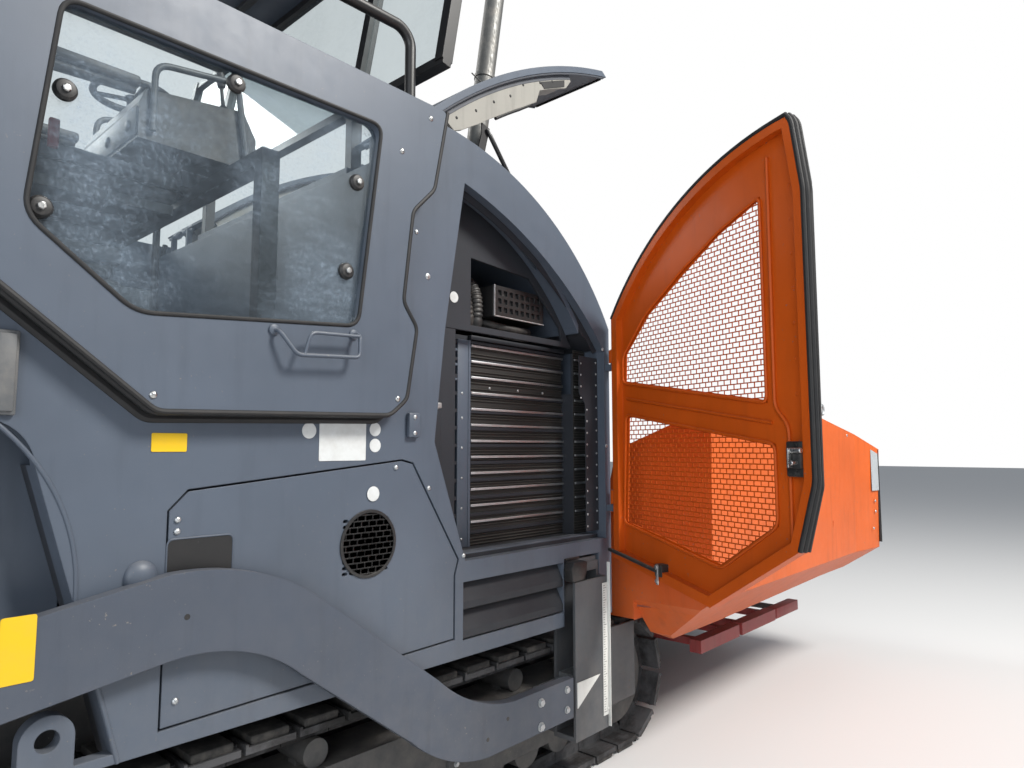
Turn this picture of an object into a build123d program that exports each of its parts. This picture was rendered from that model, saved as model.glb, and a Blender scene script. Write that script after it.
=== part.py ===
from build123d import *
from math import atan2, cos, degrees, hypot, pi, radians, sin, tan
import os

# Tracked asphalt paver with its hopper wings spread, its two service doors open and its hood lids up.
# Millimetres. X forward, Y to the left, Z up from the ground. The origin is below the middle.
# A range (low, high) in y is a distance from the middle plane, on the right-hand side, which is -Y.
# Left-hand pieces are mirror images of the right-hand ones.

# Driving dimensions of the machine
FRONT = 3340.0
REAR = -3340.0
HALF_BODY = 1225.0
FLOOR_TOP = 1750.0
RUNNING = 5.0
PIN_FIT = 0.05
SEAT = 0.3

# Tracks
TRACK_OUT = HALF_BODY - 70
TRACK_IN = TRACK_OUT - 325
TRACK_TOP = 620.0
SPROCKET_X = -1440.0
IDLER_X = 990.0
SHOE_COUNT = 38
SHOE_THICK = 45.0
SHOE_GAP = 16.0
LINK_THICK = 55.0
ROLLER_COUNT = 8
ROLLER_RADIUS = 80.0
CARRIER_RADIUS = 45.0
CARRIER_PLACES = (-700.0, 250.0)
TRACK_PLATE = 20.0
TRACK_PLATES_IN = TRACK_IN + 60
TRACK_PLATES_OUT = TRACK_OUT - 60
FRAME_LOW = 170.0
FRAME_HIGH = 430.0

# Main frame and conveyor
FRAME_IN = 720.0
FRAME_OUT = 770.0
FRAME_REAR = -1850.0
FRAME_FRONT = 2980.0
TUNNEL_TOP = 760.0
TUNNEL_ROOF = 25.0
DECK_TOP = 500.0
DECK_THICK = 20.0
LEDGE_HALF = 900.0
LOW_FRAME = 330.0
TIE = (2890.0, 405.0)
TIE_HOLE = 30.0
SLAT_COUNT = 20
LANE = (45.0, 425.0)
SLAT_HIGH = 26.0
SLAT_WIDE = 55.0

# Body sides and hood
SIDE_THICK = 40.0
BODY_LOW = 690.0
LASHING = (-1489.0, 784.0)
LASHING_HOLE = 25.0
LASHING_EYE = 56.0
BODY_FRONT = 745.0
CREST_REAR = (-350.0, 2640.0)
CREST_MID = (420.0, 2360.0)
CREST_FRONT = (BODY_FRONT, 2000.0)
BULKHEAD = 40.0
HOOD_HALF = 700.0
HOOD_SKIN = 30.0
HOOD_REAR = -303.0
POST_FOOT = 2600.0
LEDGE_FRONT = 560.0
FIREWALL_X = -400.0
SEAM = 6.0
REAR_HALF = HALF_BODY - 125

# Service door, on the front edge of the cooler opening
DOOR_HINGE_X = 730.0
DOOR_HINGE_Y = HALF_BODY + 29
DOOR_THICK = 45.0
DOOR_OPEN = 69.0
KNUCKLE = 16.0
HINGE_PIN = 8.0
DOOR_HINGES = (1150.0, 1800.0)

# Hood lid
LID_IN = 715.0
LID_OUT = HALF_BODY - SIDE_THICK - RUNNING
LID_LINE = [(-335.0, 2642.0), (264.0, 2369.0), (780.0, 1960.0)]
LID_THICK = 28.0
LID_OPEN = 60.0
LID_HINGE = (-362.0, 2664.0)
LID_LUGS = (850.0, 1050.0)
LUG_THICK = 20.0

# Window side shield
SHIELD_IN = HALF_BODY + 15
SHIELD_OUT = SHIELD_IN + 45
SHIELD_HINGE_X = -1990.0

# Hopper
WING_HINGE_Y = 930.0
WING_HINGE_Z = 652.0
WING_REAR = 905.0
WING_FRONT = 3180.0
WING_TUBE = 20.0
LEDGE_TOP = 645.0
LEDGE_THICK = 20.0
TRAY_HALF = 800.0
WING_PIN = 12.0
APRON_HINGE = (3018.0, 545.0)
APRON_HALF = 870.0

# Push rollers
BEAM_PIVOT_X = 3032.0
BEAM_BACK = 3078.0
BEAM_FRONT = 3142.0
BEAM_HALF = 690.0
PUSH_RADIUS = 92.0
PUSH_X = FRONT - PUSH_RADIUS
PUSH_Z = 400.0
PUSH_IN = 60.0
PUSH_OUT = 640.0
PUSH_PIN = 20.0

# Augers
AUGER_X = -2060.0
AUGER_Z = 360.0
AUGER_RADIUS = 190.0
AUGER_SHAFT = 45.0
AUGER_IN = 110.0
AUGER_OUT = HALF_BODY - 50
AUGER_PITCH = 330.0
CARRIER_OUT = HALF_BODY - 10
FLIGHTS_PER_TURN = 8
FLIGHT_THICK = 14.0

# Tow arms, their posts and the screed
ARM_IN = HALF_BODY + 10
ARM_OUT = ARM_IN + 40
PIVOT_X = 300.0
PIVOT_Z = 415.0
PIVOT_PIN = 25.0
POST_REAR = 400.0
POST_FRONT = 637.0
POST_LOW = 230.0
POST_HIGH = 940.0
POST_IN = HALF_BODY - 65
POST_WALL = 12.0
POST_STEP = 875.0
SCREED_FRONT = -2400.0
SCREED_BACK = -2800.0
SCREED_TOP = 400.0
SCREED_HALF = ARM_IN
EXT_FRONT = -2860.0
EXT_BACK = -3190.0
EXT_OUT = SCREED_HALF + 15
GUIDE_X = -2690.0
GUIDE_Z = 520.0
GUIDE_OUTER = 80.0
GUIDE_INNER = 60.5
GUIDE_ROD = 60.0
GATE_IN = EXT_OUT + 35
GATE_OUT = GATE_IN + 25

# Lift cylinders between the platform and the tow arms
LIFT_TOP = (-1720.0, 1640.0)
LIFT_LOW = (-1700.0, 985.0)
LIFT_IN = HALF_BODY - 115
LIFT_OUT = LIFT_IN + 60
LIFT_BARREL = 35.0
LIFT_ROD = 20.0

os.makedirs("parts", exist_ok=True)


def block(x, y, z, mode=Mode.ADD):
    """A square block in the piece being built, from its ranges along X, Y and Z."""
    with Locations(tuple((low + high) / 2 for low, high in (x, y, z))):
        Box(x[1] - x[0], y[1] - y[0], z[1] - z[0], mode=mode)


def right_block(x, y, z, mode=Mode.ADD):
    """A square block on the right-hand side."""
    block(x, (-y[1], -y[0]), z, mode)


def both_blocks(x, y, z, mode=Mode.ADD):
    """A square block on each side."""
    block(x, y, z, mode)
    right_block(x, y, z, mode)


def plate(outline, y, mode=Mode.ADD):
    """A right-hand plate: an outline in X and Z, between two distances from the middle plane."""
    with BuildSketch(Plane.XZ.offset(y[0])) as face:
        Polygon(*outline, align=None)
    extrude(face.sketch, amount=y[1] - y[0], mode=mode)


def wide_plate(outline, half, mode=Mode.ADD):
    """A plate right across the machine: an outline in X and Z, as far to each side."""
    with BuildSketch(Plane.XZ) as face:
        Polygon(*outline, align=None)
    extrude(face.sketch, amount=half, both=True, mode=mode)


def section(outline, x, mode=Mode.ADD):
    """A bar along X: an outline of right-hand distances and heights, between two places along X."""
    with BuildSketch(Plane.YZ.offset(x[0])) as face:
        Polygon(*[(-out, up) for out, up in outline], align=None)
    extrude(face.sketch, amount=x[1] - x[0], mode=mode)


def cross_rod(x, z, radius, y, mode=Mode.ADD):
    """A right-hand round bar along Y, between two distances from the middle plane."""
    with Locations((x, -(y[0] + y[1]) / 2, z)):
        Cylinder(radius, y[1] - y[0], rotation=(90, 0, 0), mode=mode)


def crest_arc():
    """The crest line of hood and body sides, as an arc in X and Z."""
    return ThreePointArc(CREST_REAR, CREST_MID, CREST_FRONT)


def circle_through(rear, middle, front):
    """Centre and radius of the circle through three points."""
    (x1, z1), (x2, z2), (x3, z3) = rear, middle, front
    a, b = x2 - x1, z2 - z1
    c, d = x3 - x1, z3 - z1
    e = (a * (x1 + x2) + b * (z1 + z2)) / 2
    f = (c * (x1 + x3) + d * (z1 + z3)) / 2
    g = a * d - b * c
    centre = ((d * e - b * f) / g, (a * f - c * e) / g)
    return centre, hypot(x1 - centre[0], z1 - centre[1])


CREST_CENTRE, CREST_RADIUS = circle_through(CREST_REAR, CREST_MID, CREST_FRONT)
LID_CENTRE, LID_RADIUS = circle_through(*LID_LINE)


def crest_point(x, inset=0.0):
    """The point of the crest line at a place along X, or of a line inside it by an inset."""
    radius = CREST_RADIUS - inset
    return (x, CREST_CENTRE[1] + (radius**2 - (x - CREST_CENTRE[0]) ** 2) ** 0.5)


def crest_curve(x_rear, x_front, inset=0.0):
    """An arc along the crest line, or inside it by an inset."""
    middle = (x_rear + x_front) / 2
    return ThreePointArc(crest_point(x_rear, inset), crest_point(middle, inset), crest_point(x_front, inset))


# Track: one fixed loop whose outline has the shoes, with a groove between each two of them
track_middle = (SPROCKET_X + IDLER_X) / 2
track_axis = TRACK_TOP / 2
track_span = IDLER_X - SPROCKET_X
shoe_line = track_axis - SHOE_THICK
loop_length = 2 * track_span + 2 * pi * shoe_line


def loop_place(s):
    """A point of the line under the shoes and the direction along it, after a length s from the sprocket."""
    arc = pi * shoe_line
    if s < track_span:
        return (SPROCKET_X + s, track_axis - shoe_line, 0.0)
    s -= track_span
    if s < arc:
        turn = s / shoe_line
        return (IDLER_X + shoe_line * sin(turn), track_axis - shoe_line * cos(turn), degrees(turn))
    s -= arc
    if s < track_span:
        return (IDLER_X - s, track_axis + shoe_line, 180.0)
    turn = (s - track_span) / shoe_line
    return (SPROCKET_X - shoe_line * sin(turn), track_axis + shoe_line * cos(turn), 180 + degrees(turn))


with BuildPart() as track_right:
    with BuildSketch(Plane.XZ.offset(TRACK_IN)) as outline:
        with Locations((track_middle, track_axis)):
            SlotCenterToCenter(track_span, TRACK_TOP)
            SlotCenterToCenter(track_span, TRACK_TOP - 2 * (SHOE_THICK + LINK_THICK), mode=Mode.SUBTRACT)
        for shoe in range(SHOE_COUNT):
            x, z, turn = loop_place((shoe + 0.5) * loop_length / SHOE_COUNT)
            with Locations(Location((x, z), turn)):
                Rectangle(SHOE_GAP, 3 * SHOE_THICK, align=(Align.CENTER, Align.MAX), mode=Mode.SUBTRACT)
    extrude(amount=TRACK_OUT - TRACK_IN)

# Track frame: two plates with the rollers, idler and sprocket between them
link_inside = track_axis - SHOE_THICK - LINK_THICK
link_floor = track_axis - link_inside
wheel_gap = (TRACK_PLATES_IN + TRACK_PLATE, TRACK_PLATES_OUT - TRACK_PLATE)
with BuildPart() as track_frame_right:
    for inner in (TRACK_PLATES_IN, TRACK_PLATES_OUT - TRACK_PLATE):
        plate(
            [
                (SPROCKET_X - 90, track_axis - 90),
                (SPROCKET_X + 150, FRAME_LOW),
                (IDLER_X - 150, FRAME_LOW),
                (IDLER_X + 90, track_axis - 90),
                (IDLER_X + 90, track_axis + 90),
                (IDLER_X - 150, FRAME_HIGH),
                (SPROCKET_X + 150, FRAME_HIGH),
                (SPROCKET_X - 90, track_axis + 90),
            ],
            (inner, inner + TRACK_PLATE),
        )
    right_block((SPROCKET_X + 330, IDLER_X - 330), wheel_gap, (FRAME_HIGH - TRACK_PLATE, FRAME_HIGH))
    roller_span = track_span - 900
    for roller in range(ROLLER_COUNT):
        x = SPROCKET_X + 450 + roller * roller_span / (ROLLER_COUNT - 1)
        cross_rod(x, link_floor + ROLLER_RADIUS + SEAT, ROLLER_RADIUS, wheel_gap)
    for x in CARRIER_PLACES:
        right_block((x - 35, x + 35), (wheel_gap[0] + 60, wheel_gap[1] - 60), (FRAME_HIGH, FRAME_HIGH + 30))
        carrier_z = track_axis + link_inside - CARRIER_RADIUS - SEAT
        cross_rod(x, carrier_z, CARRIER_RADIUS, wheel_gap)
    for x in (SPROCKET_X, IDLER_X):
        cross_rod(x, track_axis, link_inside - SEAT, wheel_gap)
    cross_rod(SPROCKET_X, track_axis, 130, (FRAME_OUT, TRACK_PLATES_IN))
    cross_rod(SPROCKET_X, track_axis, 110, (TRACK_PLATES_OUT, TRACK_PLATES_OUT + 35))
    cross_rod(IDLER_X, track_axis, 60, (TRACK_PLATES_OUT, TRACK_PLATES_OUT + 30))

# Main frame: tunnel plates and lower front frame with stubs to the tracks
with BuildPart() as main_frame:
    for mirror_side in (False, True):
        side = (FRAME_IN, FRAME_OUT) if not mirror_side else (-FRAME_OUT, -FRAME_IN)
        plate(
            [
                (FRAME_REAR, 260),
                (BODY_FRONT - 60, 260),
                (BODY_FRONT + 60, LOW_FRAME),
                (FRAME_FRONT, LOW_FRAME),
                (FRAME_FRONT, DECK_TOP - DECK_THICK),
                (BODY_FRONT, DECK_TOP - DECK_THICK),
                (BODY_FRONT - 45, TUNNEL_TOP),
                (FRAME_REAR, TUNNEL_TOP),
            ],
            side,
        )
    for x in (-900, 300):
        both_blocks((x, x + 160), (FRAME_OUT, TRACK_PLATES_IN), (220, 400))
    cross_rod(TIE[0], TIE[1], TIE_HOLE, (-FRAME_OUT, FRAME_OUT), Mode.SUBTRACT)

# Cross beams between the tunnel plates, and the front beam with the push beam's clevis
with BuildPart() as cross_beams:
    for x in (FRAME_REAR + 40, -1000, -100, 600):
        block((x, x + 120), (-FRAME_IN, FRAME_IN), (270, 350))
    for x in (1500, 2400):
        block((x, x + 100), (-FRAME_IN, FRAME_IN), (LOW_FRAME, LOW_FRAME + 80))
    block((FRAME_FRONT - 40, FRAME_FRONT), (-FRAME_IN, FRAME_IN), (LOW_FRAME - 70, DECK_TOP - DECK_THICK))
    for low in (305, 468):
        block((FRAME_FRONT, BEAM_PIVOT_X + 40), (-55, 55), (low, low + 27))
    with Locations((BEAM_PIVOT_X, 0, 400)):
        Cylinder(PUSH_PIN, 190)

# Conveyor deck: hopper tray and tunnel floor, ledges over the tracks, lugs for wings and apron
with BuildPart() as conveyor_deck:
    floor_low = DECK_TOP - DECK_THICK
    ledge_low = LEDGE_TOP - LEDGE_THICK
    tray_wall = TRAY_HALF - DECK_THICK
    cheek = APRON_HALF + 12
    block((BODY_FRONT, FRAME_FRONT), (-TRAY_HALF, TRAY_HALF), (floor_low, DECK_TOP))
    block((FRAME_REAR, BODY_FRONT), (-FRAME_IN, FRAME_IN), (floor_low, DECK_TOP))
    block((FRAME_REAR, FRAME_FRONT), (-20, 20), (DECK_TOP, DECK_TOP + 60))
    both_blocks((BODY_FRONT, FRAME_FRONT), (tray_wall, TRAY_HALF), (DECK_TOP, LEDGE_TOP))
    both_blocks((BODY_FRONT, FRAME_FRONT), (tray_wall, LEDGE_HALF), (ledge_low, LEDGE_TOP))
    both_blocks((FRAME_FRONT - 40, WING_FRONT + 35), (cheek, LEDGE_HALF), (floor_low, LEDGE_TOP))
    for x in ((WING_REAR - 35, WING_REAR - RUNNING), (WING_FRONT + RUNNING, WING_FRONT + 35)):
        both_blocks(x, (cheek, WING_HINGE_Y + 28), (ledge_low + 4, WING_HINGE_Z + 28))
    for side in (1, -1):
        for x in ((WING_REAR - RUNNING, WING_REAR + 60), (WING_FRONT - 60, WING_FRONT + RUNNING)):
            with Locations(((x[0] + x[1]) / 2, side * WING_HINGE_Y, WING_HINGE_Z)):
                Cylinder(WING_PIN, x[1] - x[0], rotation=(0, 90, 0))
        with Locations((APRON_HINGE[0], side * (cheek - 25), APRON_HINGE[1])):
            Cylinder(WING_PIN, 50, rotation=(90, 0, 0))

# Conveyor: two lanes of slats on their chains
with BuildPart() as conveyor_slats:
    lane_rear, lane_front = FRAME_REAR + 20, FRAME_FRONT - 60
    for side in (1, -1):
        for inner in (LANE[0] + 20, LANE[1] - 45):
            y = sorted((side * inner, side * (inner + 25)))
            block((lane_rear, lane_front), y, (DECK_TOP, DECK_TOP + SLAT_HIGH / 2))
        for slat in range(SLAT_COUNT):
            x = lane_rear + 30 + slat * (lane_front - lane_rear - 60 - SLAT_WIDE) / (SLAT_COUNT - 1)
            lane_y = sorted((side * LANE[0], side * LANE[1]))
            block((x, x + SLAT_WIDE), lane_y, (DECK_TOP, DECK_TOP + SLAT_HIGH))

# Red bars along both sides under the hopper, on brackets from the lower frame
with BuildPart() as side_bars:
    for side in (1, -1):
        for x in ((1640, 2130), (2170, 2680)):
            block(x, sorted((side * 1130, side * 1200)), (310, 380))
        for x in (1700, 2040, 2230, 2600):
            block((x, x + 40), sorted((side * FRAME_OUT, side * 1130)), (LOW_FRAME, LOW_FRAME + 40))

# Body side: one thick wall with the cooler opening, the service panel's place and the louvres' place
SERVICE_PANEL = [
    (-1250.0, 735.0),
    (-1250.0, 1280.0),
    (-1200.0, 1332.0),
    (-490.0, 1402.0),
    (-440.0, 1390.0),
    (-222.0, 1040.0),
    (-240.0, 985.0),
    (-240.0, 760.0),
]
LOUVRE_X = (-200.0, 385.0)
LOUVRE_Z = (750.0, 955.0)
OPENING_FRONT = 705.0
OPENING_TOP = [(-205.0, 2445.0), (250.0, 2262.0), (OPENING_FRONT, 1890.0)]
POST_GAP = 8.0
REAR_EDGE = [(-1345.0, BODY_LOW), (-1455.0, 1089.0), (-1545.0, 1400.0)]
REAR_LIP = 14.0
side_y = (HALF_BODY - SIDE_THICK, HALF_BODY)
with BuildPart() as body_side_right:
    with BuildSketch(Plane.XZ.offset(side_y[0])) as outline:
        with BuildLine():
            crest_arc()
            Polyline(CREST_FRONT, (BODY_FRONT, 1000), (BODY_FRONT, BODY_LOW), *REAR_EDGE)
            ThreePointArc(REAR_EDGE[-1], (-1578, 1472), (-1640, 1505))
            Polyline((-1640, 1505), (-1950, 1640), (-1950, FLOOR_TOP), (-560, FLOOR_TOP), (-530, 1900))
            Polyline((-530, 1900), (-500, 2250), (-400, 2345), CREST_REAR)
        make_face()
        with BuildLine():
            ThreePointArc(OPENING_TOP[0], OPENING_TOP[1], OPENING_TOP[2])
            Polyline(
                OPENING_TOP[2],
                (OPENING_FRONT, 1030),
                (-190, 1030),
                (-345, 1460),
                (-300, 1867),
                OPENING_TOP[0],
            )
        make_face(mode=Mode.SUBTRACT)
        with BuildLine():
            Polyline(*SERVICE_PANEL, SERVICE_PANEL[0])
        make_face(mode=Mode.SUBTRACT)
        with BuildLine():
            Polyline(
                (LOUVRE_X[0], LOUVRE_Z[0]),
                (LOUVRE_X[1], LOUVRE_Z[0]),
                (LOUVRE_X[1], LOUVRE_Z[1]),
                (LOUVRE_X[0], LOUVRE_Z[1]),
                close=True,
            )
        make_face(mode=Mode.SUBTRACT)
    extrude(amount=SIDE_THICK)
    right_block(
        (POST_REAR - POST_GAP, POST_FRONT + POST_GAP),
        side_y,
        (BODY_LOW, POST_HIGH + 30),
        Mode.SUBTRACT,
    )
    right_block((LOUVRE_X[0], OPENING_FRONT), side_y, (POST_HIGH + 30, 1030))
    plate(REAR_EDGE + [(x + REAR_LIP, z) for x, z in reversed(REAR_EDGE)], (REAR_HALF, side_y[0]))
    right_block((-1575, REAR_EDGE[0][0]), side_y, (BODY_LOW, BODY_LOW + 24))
    right_block((LASHING[0] - LASHING_EYE, LASHING[0] + LASHING_EYE), side_y, (BODY_LOW, LASHING[1]))
    cross_rod(LASHING[0], LASHING[1], LASHING_EYE, side_y)
    cross_rod(LASHING[0], LASHING[1], LASHING_HOLE, side_y, Mode.SUBTRACT)
    for z in DOOR_HINGES:
        right_block((DOOR_HINGE_X - 14, BODY_FRONT), (HALF_BODY, DOOR_HINGE_Y + 14), (z, z + 30))
        with Locations((DOOR_HINGE_X, -DOOR_HINGE_Y, z + 30 + 35)):
            Cylinder(HINGE_PIN, 70)

# Service panel with its round vent, flush in the body side
VENT = (-630.0, 1130.0)
with BuildPart() as service_panel_right:
    with BuildSketch(Plane.XZ.offset(side_y[0])) as outline:
        Polygon(*SERVICE_PANEL, align=None)
        offset(amount=-SEAM, kind=Kind.INTERSECTION, mode=Mode.REPLACE)
    extrude(amount=SIDE_THICK - 2)
    with BuildSketch(Plane.XZ.offset(side_y[0] - 12)) as rim:
        Polygon(*SERVICE_PANEL, align=None)
        offset(amount=12, kind=Kind.INTERSECTION, mode=Mode.REPLACE)
    extrude(rim.sketch, amount=12)
    with BuildSketch(Plane.XZ.offset(side_y[0] - 20)) as slots:
        with Locations(VENT):
            with GridLocations(26, 18, 7, 10):
                SlotOverall(20, 10)
    extrude(slots.sketch, amount=SIDE_THICK + 40, mode=Mode.SUBTRACT)

# Two sloping slats under the cooler opening's sill
with BuildPart() as louvres_right:
    for low in (LOUVRE_Z[0], LOUVRE_Z[0] + 102):
        section(
            [
                (side_y[0] + 4, low + 98),
                (side_y[0] + 4, low + 70),
                (HALF_BODY - 2, low + 5),
                (HALF_BODY - 2, low + 33),
            ],
            (LOUVRE_X[0], LOUVRE_X[1]),
        )

# Exhaust stack's place on the middle hood
STACK_BASE = (455.0, -500.0, 2326.0)
STACK_LEAN = 9.0
STACK_RADIUS = 53.0
STACK_LENGTH = 1640.0
STACK_BOSS = 60.0
stack_way = (sin(radians(STACK_LEAN)), 0, cos(radians(STACK_LEAN)))
stack_plane = Plane(origin=STACK_BASE, x_dir=(0, 1, 0), z_dir=stack_way)

# Hood: middle skin along the crest, ledges under the lids, firewall and front bulkhead
STRUT_SLOT_X = (-320.0, 320.0)
STRUT_SLOT_Y = (HALF_BODY - 90, HALF_BODY - 55)
with BuildPart() as engine_hood:
    with BuildSketch(Plane.XZ):
        with BuildLine():
            crest_curve(HOOD_REAR, BODY_FRONT - 5)
            Line(crest_point(BODY_FRONT - 5), crest_point(BODY_FRONT - 5, HOOD_SKIN))
            crest_curve(HOOD_REAR, BODY_FRONT - 5, HOOD_SKIN)
            Line(crest_point(HOOD_REAR, HOOD_SKIN), crest_point(HOOD_REAR))
        make_face()
    extrude(amount=HOOD_HALF, both=True)
    hood_inside = side_y[0]
    block((BODY_FRONT - BULKHEAD, BODY_FRONT), (-hood_inside, hood_inside), (TUNNEL_TOP + TUNNEL_ROOF, 1915))
    bulkhead_top = crest_point(BODY_FRONT - 5)[1]
    block((BODY_FRONT - BULKHEAD, BODY_FRONT - 5), (-HOOD_HALF, HOOD_HALF), (1900, bulkhead_top))
    block((FIREWALL_X, FIREWALL_X + 30), (-hood_inside, hood_inside), (FLOOR_TOP, 2560))
    block((FIREWALL_X + 20, HOOD_REAR + 30), (-HOOD_HALF, HOOD_HALF), (2540, POST_FOOT))
    block((HOOD_REAR + 2, HOOD_REAR + 30), (-HOOD_HALF, HOOD_HALF), (2540, 2612))
    with BuildSketch(stack_plane.offset(-90)) as boss:
        Circle(STACK_RADIUS + 35)
    extrude(boss.sketch, amount=90 + STACK_BOSS)
    block((FIREWALL_X, BODY_FRONT), (-FRAME_OUT, FRAME_OUT), (TUNNEL_TOP, TUNNEL_TOP + TUNNEL_ROOF))
    for side in (1, -1):
        y = sorted((side * HOOD_HALF, side * hood_inside))
        with BuildSketch(Plane.XZ.offset(-y[0])) as ledge:
            with BuildLine():
                crest_curve(FIREWALL_X + 30, LEDGE_FRONT, 150)
                Line(crest_point(LEDGE_FRONT, 150), crest_point(LEDGE_FRONT, 175))
                crest_curve(FIREWALL_X + 30, LEDGE_FRONT, 175)
                Line(crest_point(FIREWALL_X + 30, 175), crest_point(FIREWALL_X + 30, 150))
            make_face()
        extrude(ledge.sketch, amount=-(y[1] - y[0]))
        slot_y = sorted((side * STRUT_SLOT_Y[0], side * STRUT_SLOT_Y[1]))
        block(STRUT_SLOT_X, slot_y, (2150, 2520), Mode.SUBTRACT)
        with BuildSketch(Plane.XZ.offset(side * (HOOD_HALF - 15))) as web:
            with BuildLine():
                crest_curve(HOOD_REAR, LEDGE_FRONT, HOOD_SKIN)
                Line(crest_point(LEDGE_FRONT, HOOD_SKIN), crest_point(LEDGE_FRONT, 175))
                crest_curve(HOOD_REAR, LEDGE_FRONT, 175)
                Line(crest_point(HOOD_REAR, 175), crest_point(HOOD_REAR, HOOD_SKIN))
            make_face()
        extrude(web.sketch, amount=side * 15)
        with BuildSketch(Plane.XZ.offset(side * (HOOD_HALF - 15))) as wall:
            with BuildLine():
                crest_curve(FIREWALL_X + 30, 690, 150)
                web_rear = FIREWALL_X + 30
                Polyline(crest_point(690, 150), (690, 1720), (web_rear, 1720), crest_point(web_rear, 150))
            make_face()
        extrude(wall.sketch, amount=side * 15)
        for out in LID_LUGS:
            y = sorted((side * out, side * (out + LUG_THICK)))
            block((LID_HINGE[0] - 14, LID_HINGE[0] + 14), y, (2480, LID_HINGE[1] + 14))
            with Locations((LID_HINGE[0], side * (out + LUG_THICK / 2), LID_HINGE[1])):
                Cylinder(HINGE_PIN, LUG_THICK + 90, rotation=(90, 0, 0))

# Engine: one plain heavy block
with BuildPart() as engine_block:
    block((-250, 600), (-640, 640), (TUNNEL_TOP + TUNNEL_ROOF, 1700))

# Cooler: core, channels and bright-edged bars
COOLER_IN = 800.0
COOLER_OUT = 1040.0
COOLER_Z = (1045.0, 1900.0)
BAR_COUNT = 12
AIR_WINDOW = [(-60.0, 1930.0), (-60.0, 2205.0), (300.0, 2185.0), (515.0, 1990.0), (530.0, 1930.0)]
with BuildPart() as cooler_right:
    right_block((-140, 610), (COOLER_IN, COOLER_OUT), COOLER_Z)
    right_block((-215, -140), (COOLER_IN + 60, COOLER_OUT + 70), (1045, 1980))
    right_block((610, 690), (COOLER_IN + 60, COOLER_OUT + 60), (1045, 1692))
    for bar in range(BAR_COUNT):
        z = COOLER_Z[0] + 50 + bar * (COOLER_Z[1] - COOLER_Z[0] - 90) / (BAR_COUNT - 1)
        right_block((-140, 610), (COOLER_OUT, COOLER_OUT + 14), (z, z + 14))
    right_block((-190, 690), (660, side_y[0]), (1000, 1045))
    with BuildSketch(Plane.XZ.offset(COOLER_OUT + 60)) as wall:
        with BuildLine():
            crest_curve(FIREWALL_X + 30, 690, 176)
            Polyline(
                crest_point(690, 176),
                (690, 1000),
                (FIREWALL_X + 30, 1000),
                crest_point(FIREWALL_X + 30, 176),
            )
        make_face()
        Polygon((-215, 1000), (-215, 1905), (610, 1905), (610, 1000), align=None, mode=Mode.SUBTRACT)
        Polygon(*AIR_WINDOW, align=None, mode=Mode.SUBTRACT)
    extrude(wall.sketch, amount=12)

# Perforated air box above the cooler
with BuildPart() as air_box_right:
    right_block((95, 415), (870, 1095), (1995, 2125))
    with BuildSketch(Plane.XZ.offset(1085)):
        with Locations((255, 2060)):
            with GridLocations(36, 36, 8, 3):
                Rectangle(22, 22)
    extrude(amount=20, mode=Mode.SUBTRACT)
    right_block((160, 210), (900, 960), (COOLER_Z[1], 1995))

# Exhaust stack on the hood's boss, leaning forward
with BuildPart() as exhaust_stack:
    with BuildSketch(stack_plane.offset(STACK_BOSS)):
        Circle(STACK_RADIUS)
        Circle(STACK_RADIUS - 4, mode=Mode.SUBTRACT)
    extrude(amount=STACK_LENGTH)
    with BuildSketch(stack_plane.offset(STACK_BOSS)):
        Circle(STACK_RADIUS + 35)
        Circle(STACK_RADIUS - 4, mode=Mode.SUBTRACT)
    extrude(amount=12)

# Operator's platform: floor, kick plates, side walls behind the shields' lower edge
with BuildPart() as platform_floor:
    inside = side_y[0]
    block((-1950, FIREWALL_X), (-inside, inside), (FLOOR_TOP - 40, FLOOR_TOP))
    for side in (1, -1):
        block((-1900, -1300), sorted((side * (inside - 35), side * inside)), (FLOOR_TOP, FLOOR_TOP + 100))

# Rear body: back wall below the platform and the steps
with BuildPart() as rear_body:
    wall_x = (-1640.0, -1610.0)
    block(wall_x, (-REAR_HALF, REAR_HALF), (TUNNEL_TOP + TUNNEL_ROOF, FLOOR_TOP - 40))
    block((FRAME_REAR, FIREWALL_X), (-FRAME_OUT, FRAME_OUT), (TUNNEL_TOP, TUNNEL_TOP + TUNNEL_ROOF))
    for side in (1, -1):
        wall_y = sorted((side * (REAR_HALF - 30), side * REAR_HALF))
        block((wall_x[1], -1450), wall_y, (TUNNEL_TOP + 60, FLOOR_TOP - 40))
        block((-1900, wall_x[0]), sorted((side * 330, side * 350)), (TUNNEL_TOP + TUNNEL_ROOF, 1560))
        bracket_in = REAR_HALF - 50
        block((-1765, wall_x[0]), sorted((side * bracket_in, side * (LIFT_IN - 15))), (1560, FLOOR_TOP - 40))
        y = sorted((side * bracket_in, side * LIFT_OUT))
        with Locations((LIFT_TOP[0], (y[0] + y[1]) / 2, LIFT_TOP[1])):
            Cylinder(15, y[1] - y[0], rotation=(90, 0, 0))
    for z in (960, 1230, 1500):
        block((-1900, wall_x[0]), (-330, 330), (z, z + 30))

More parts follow.
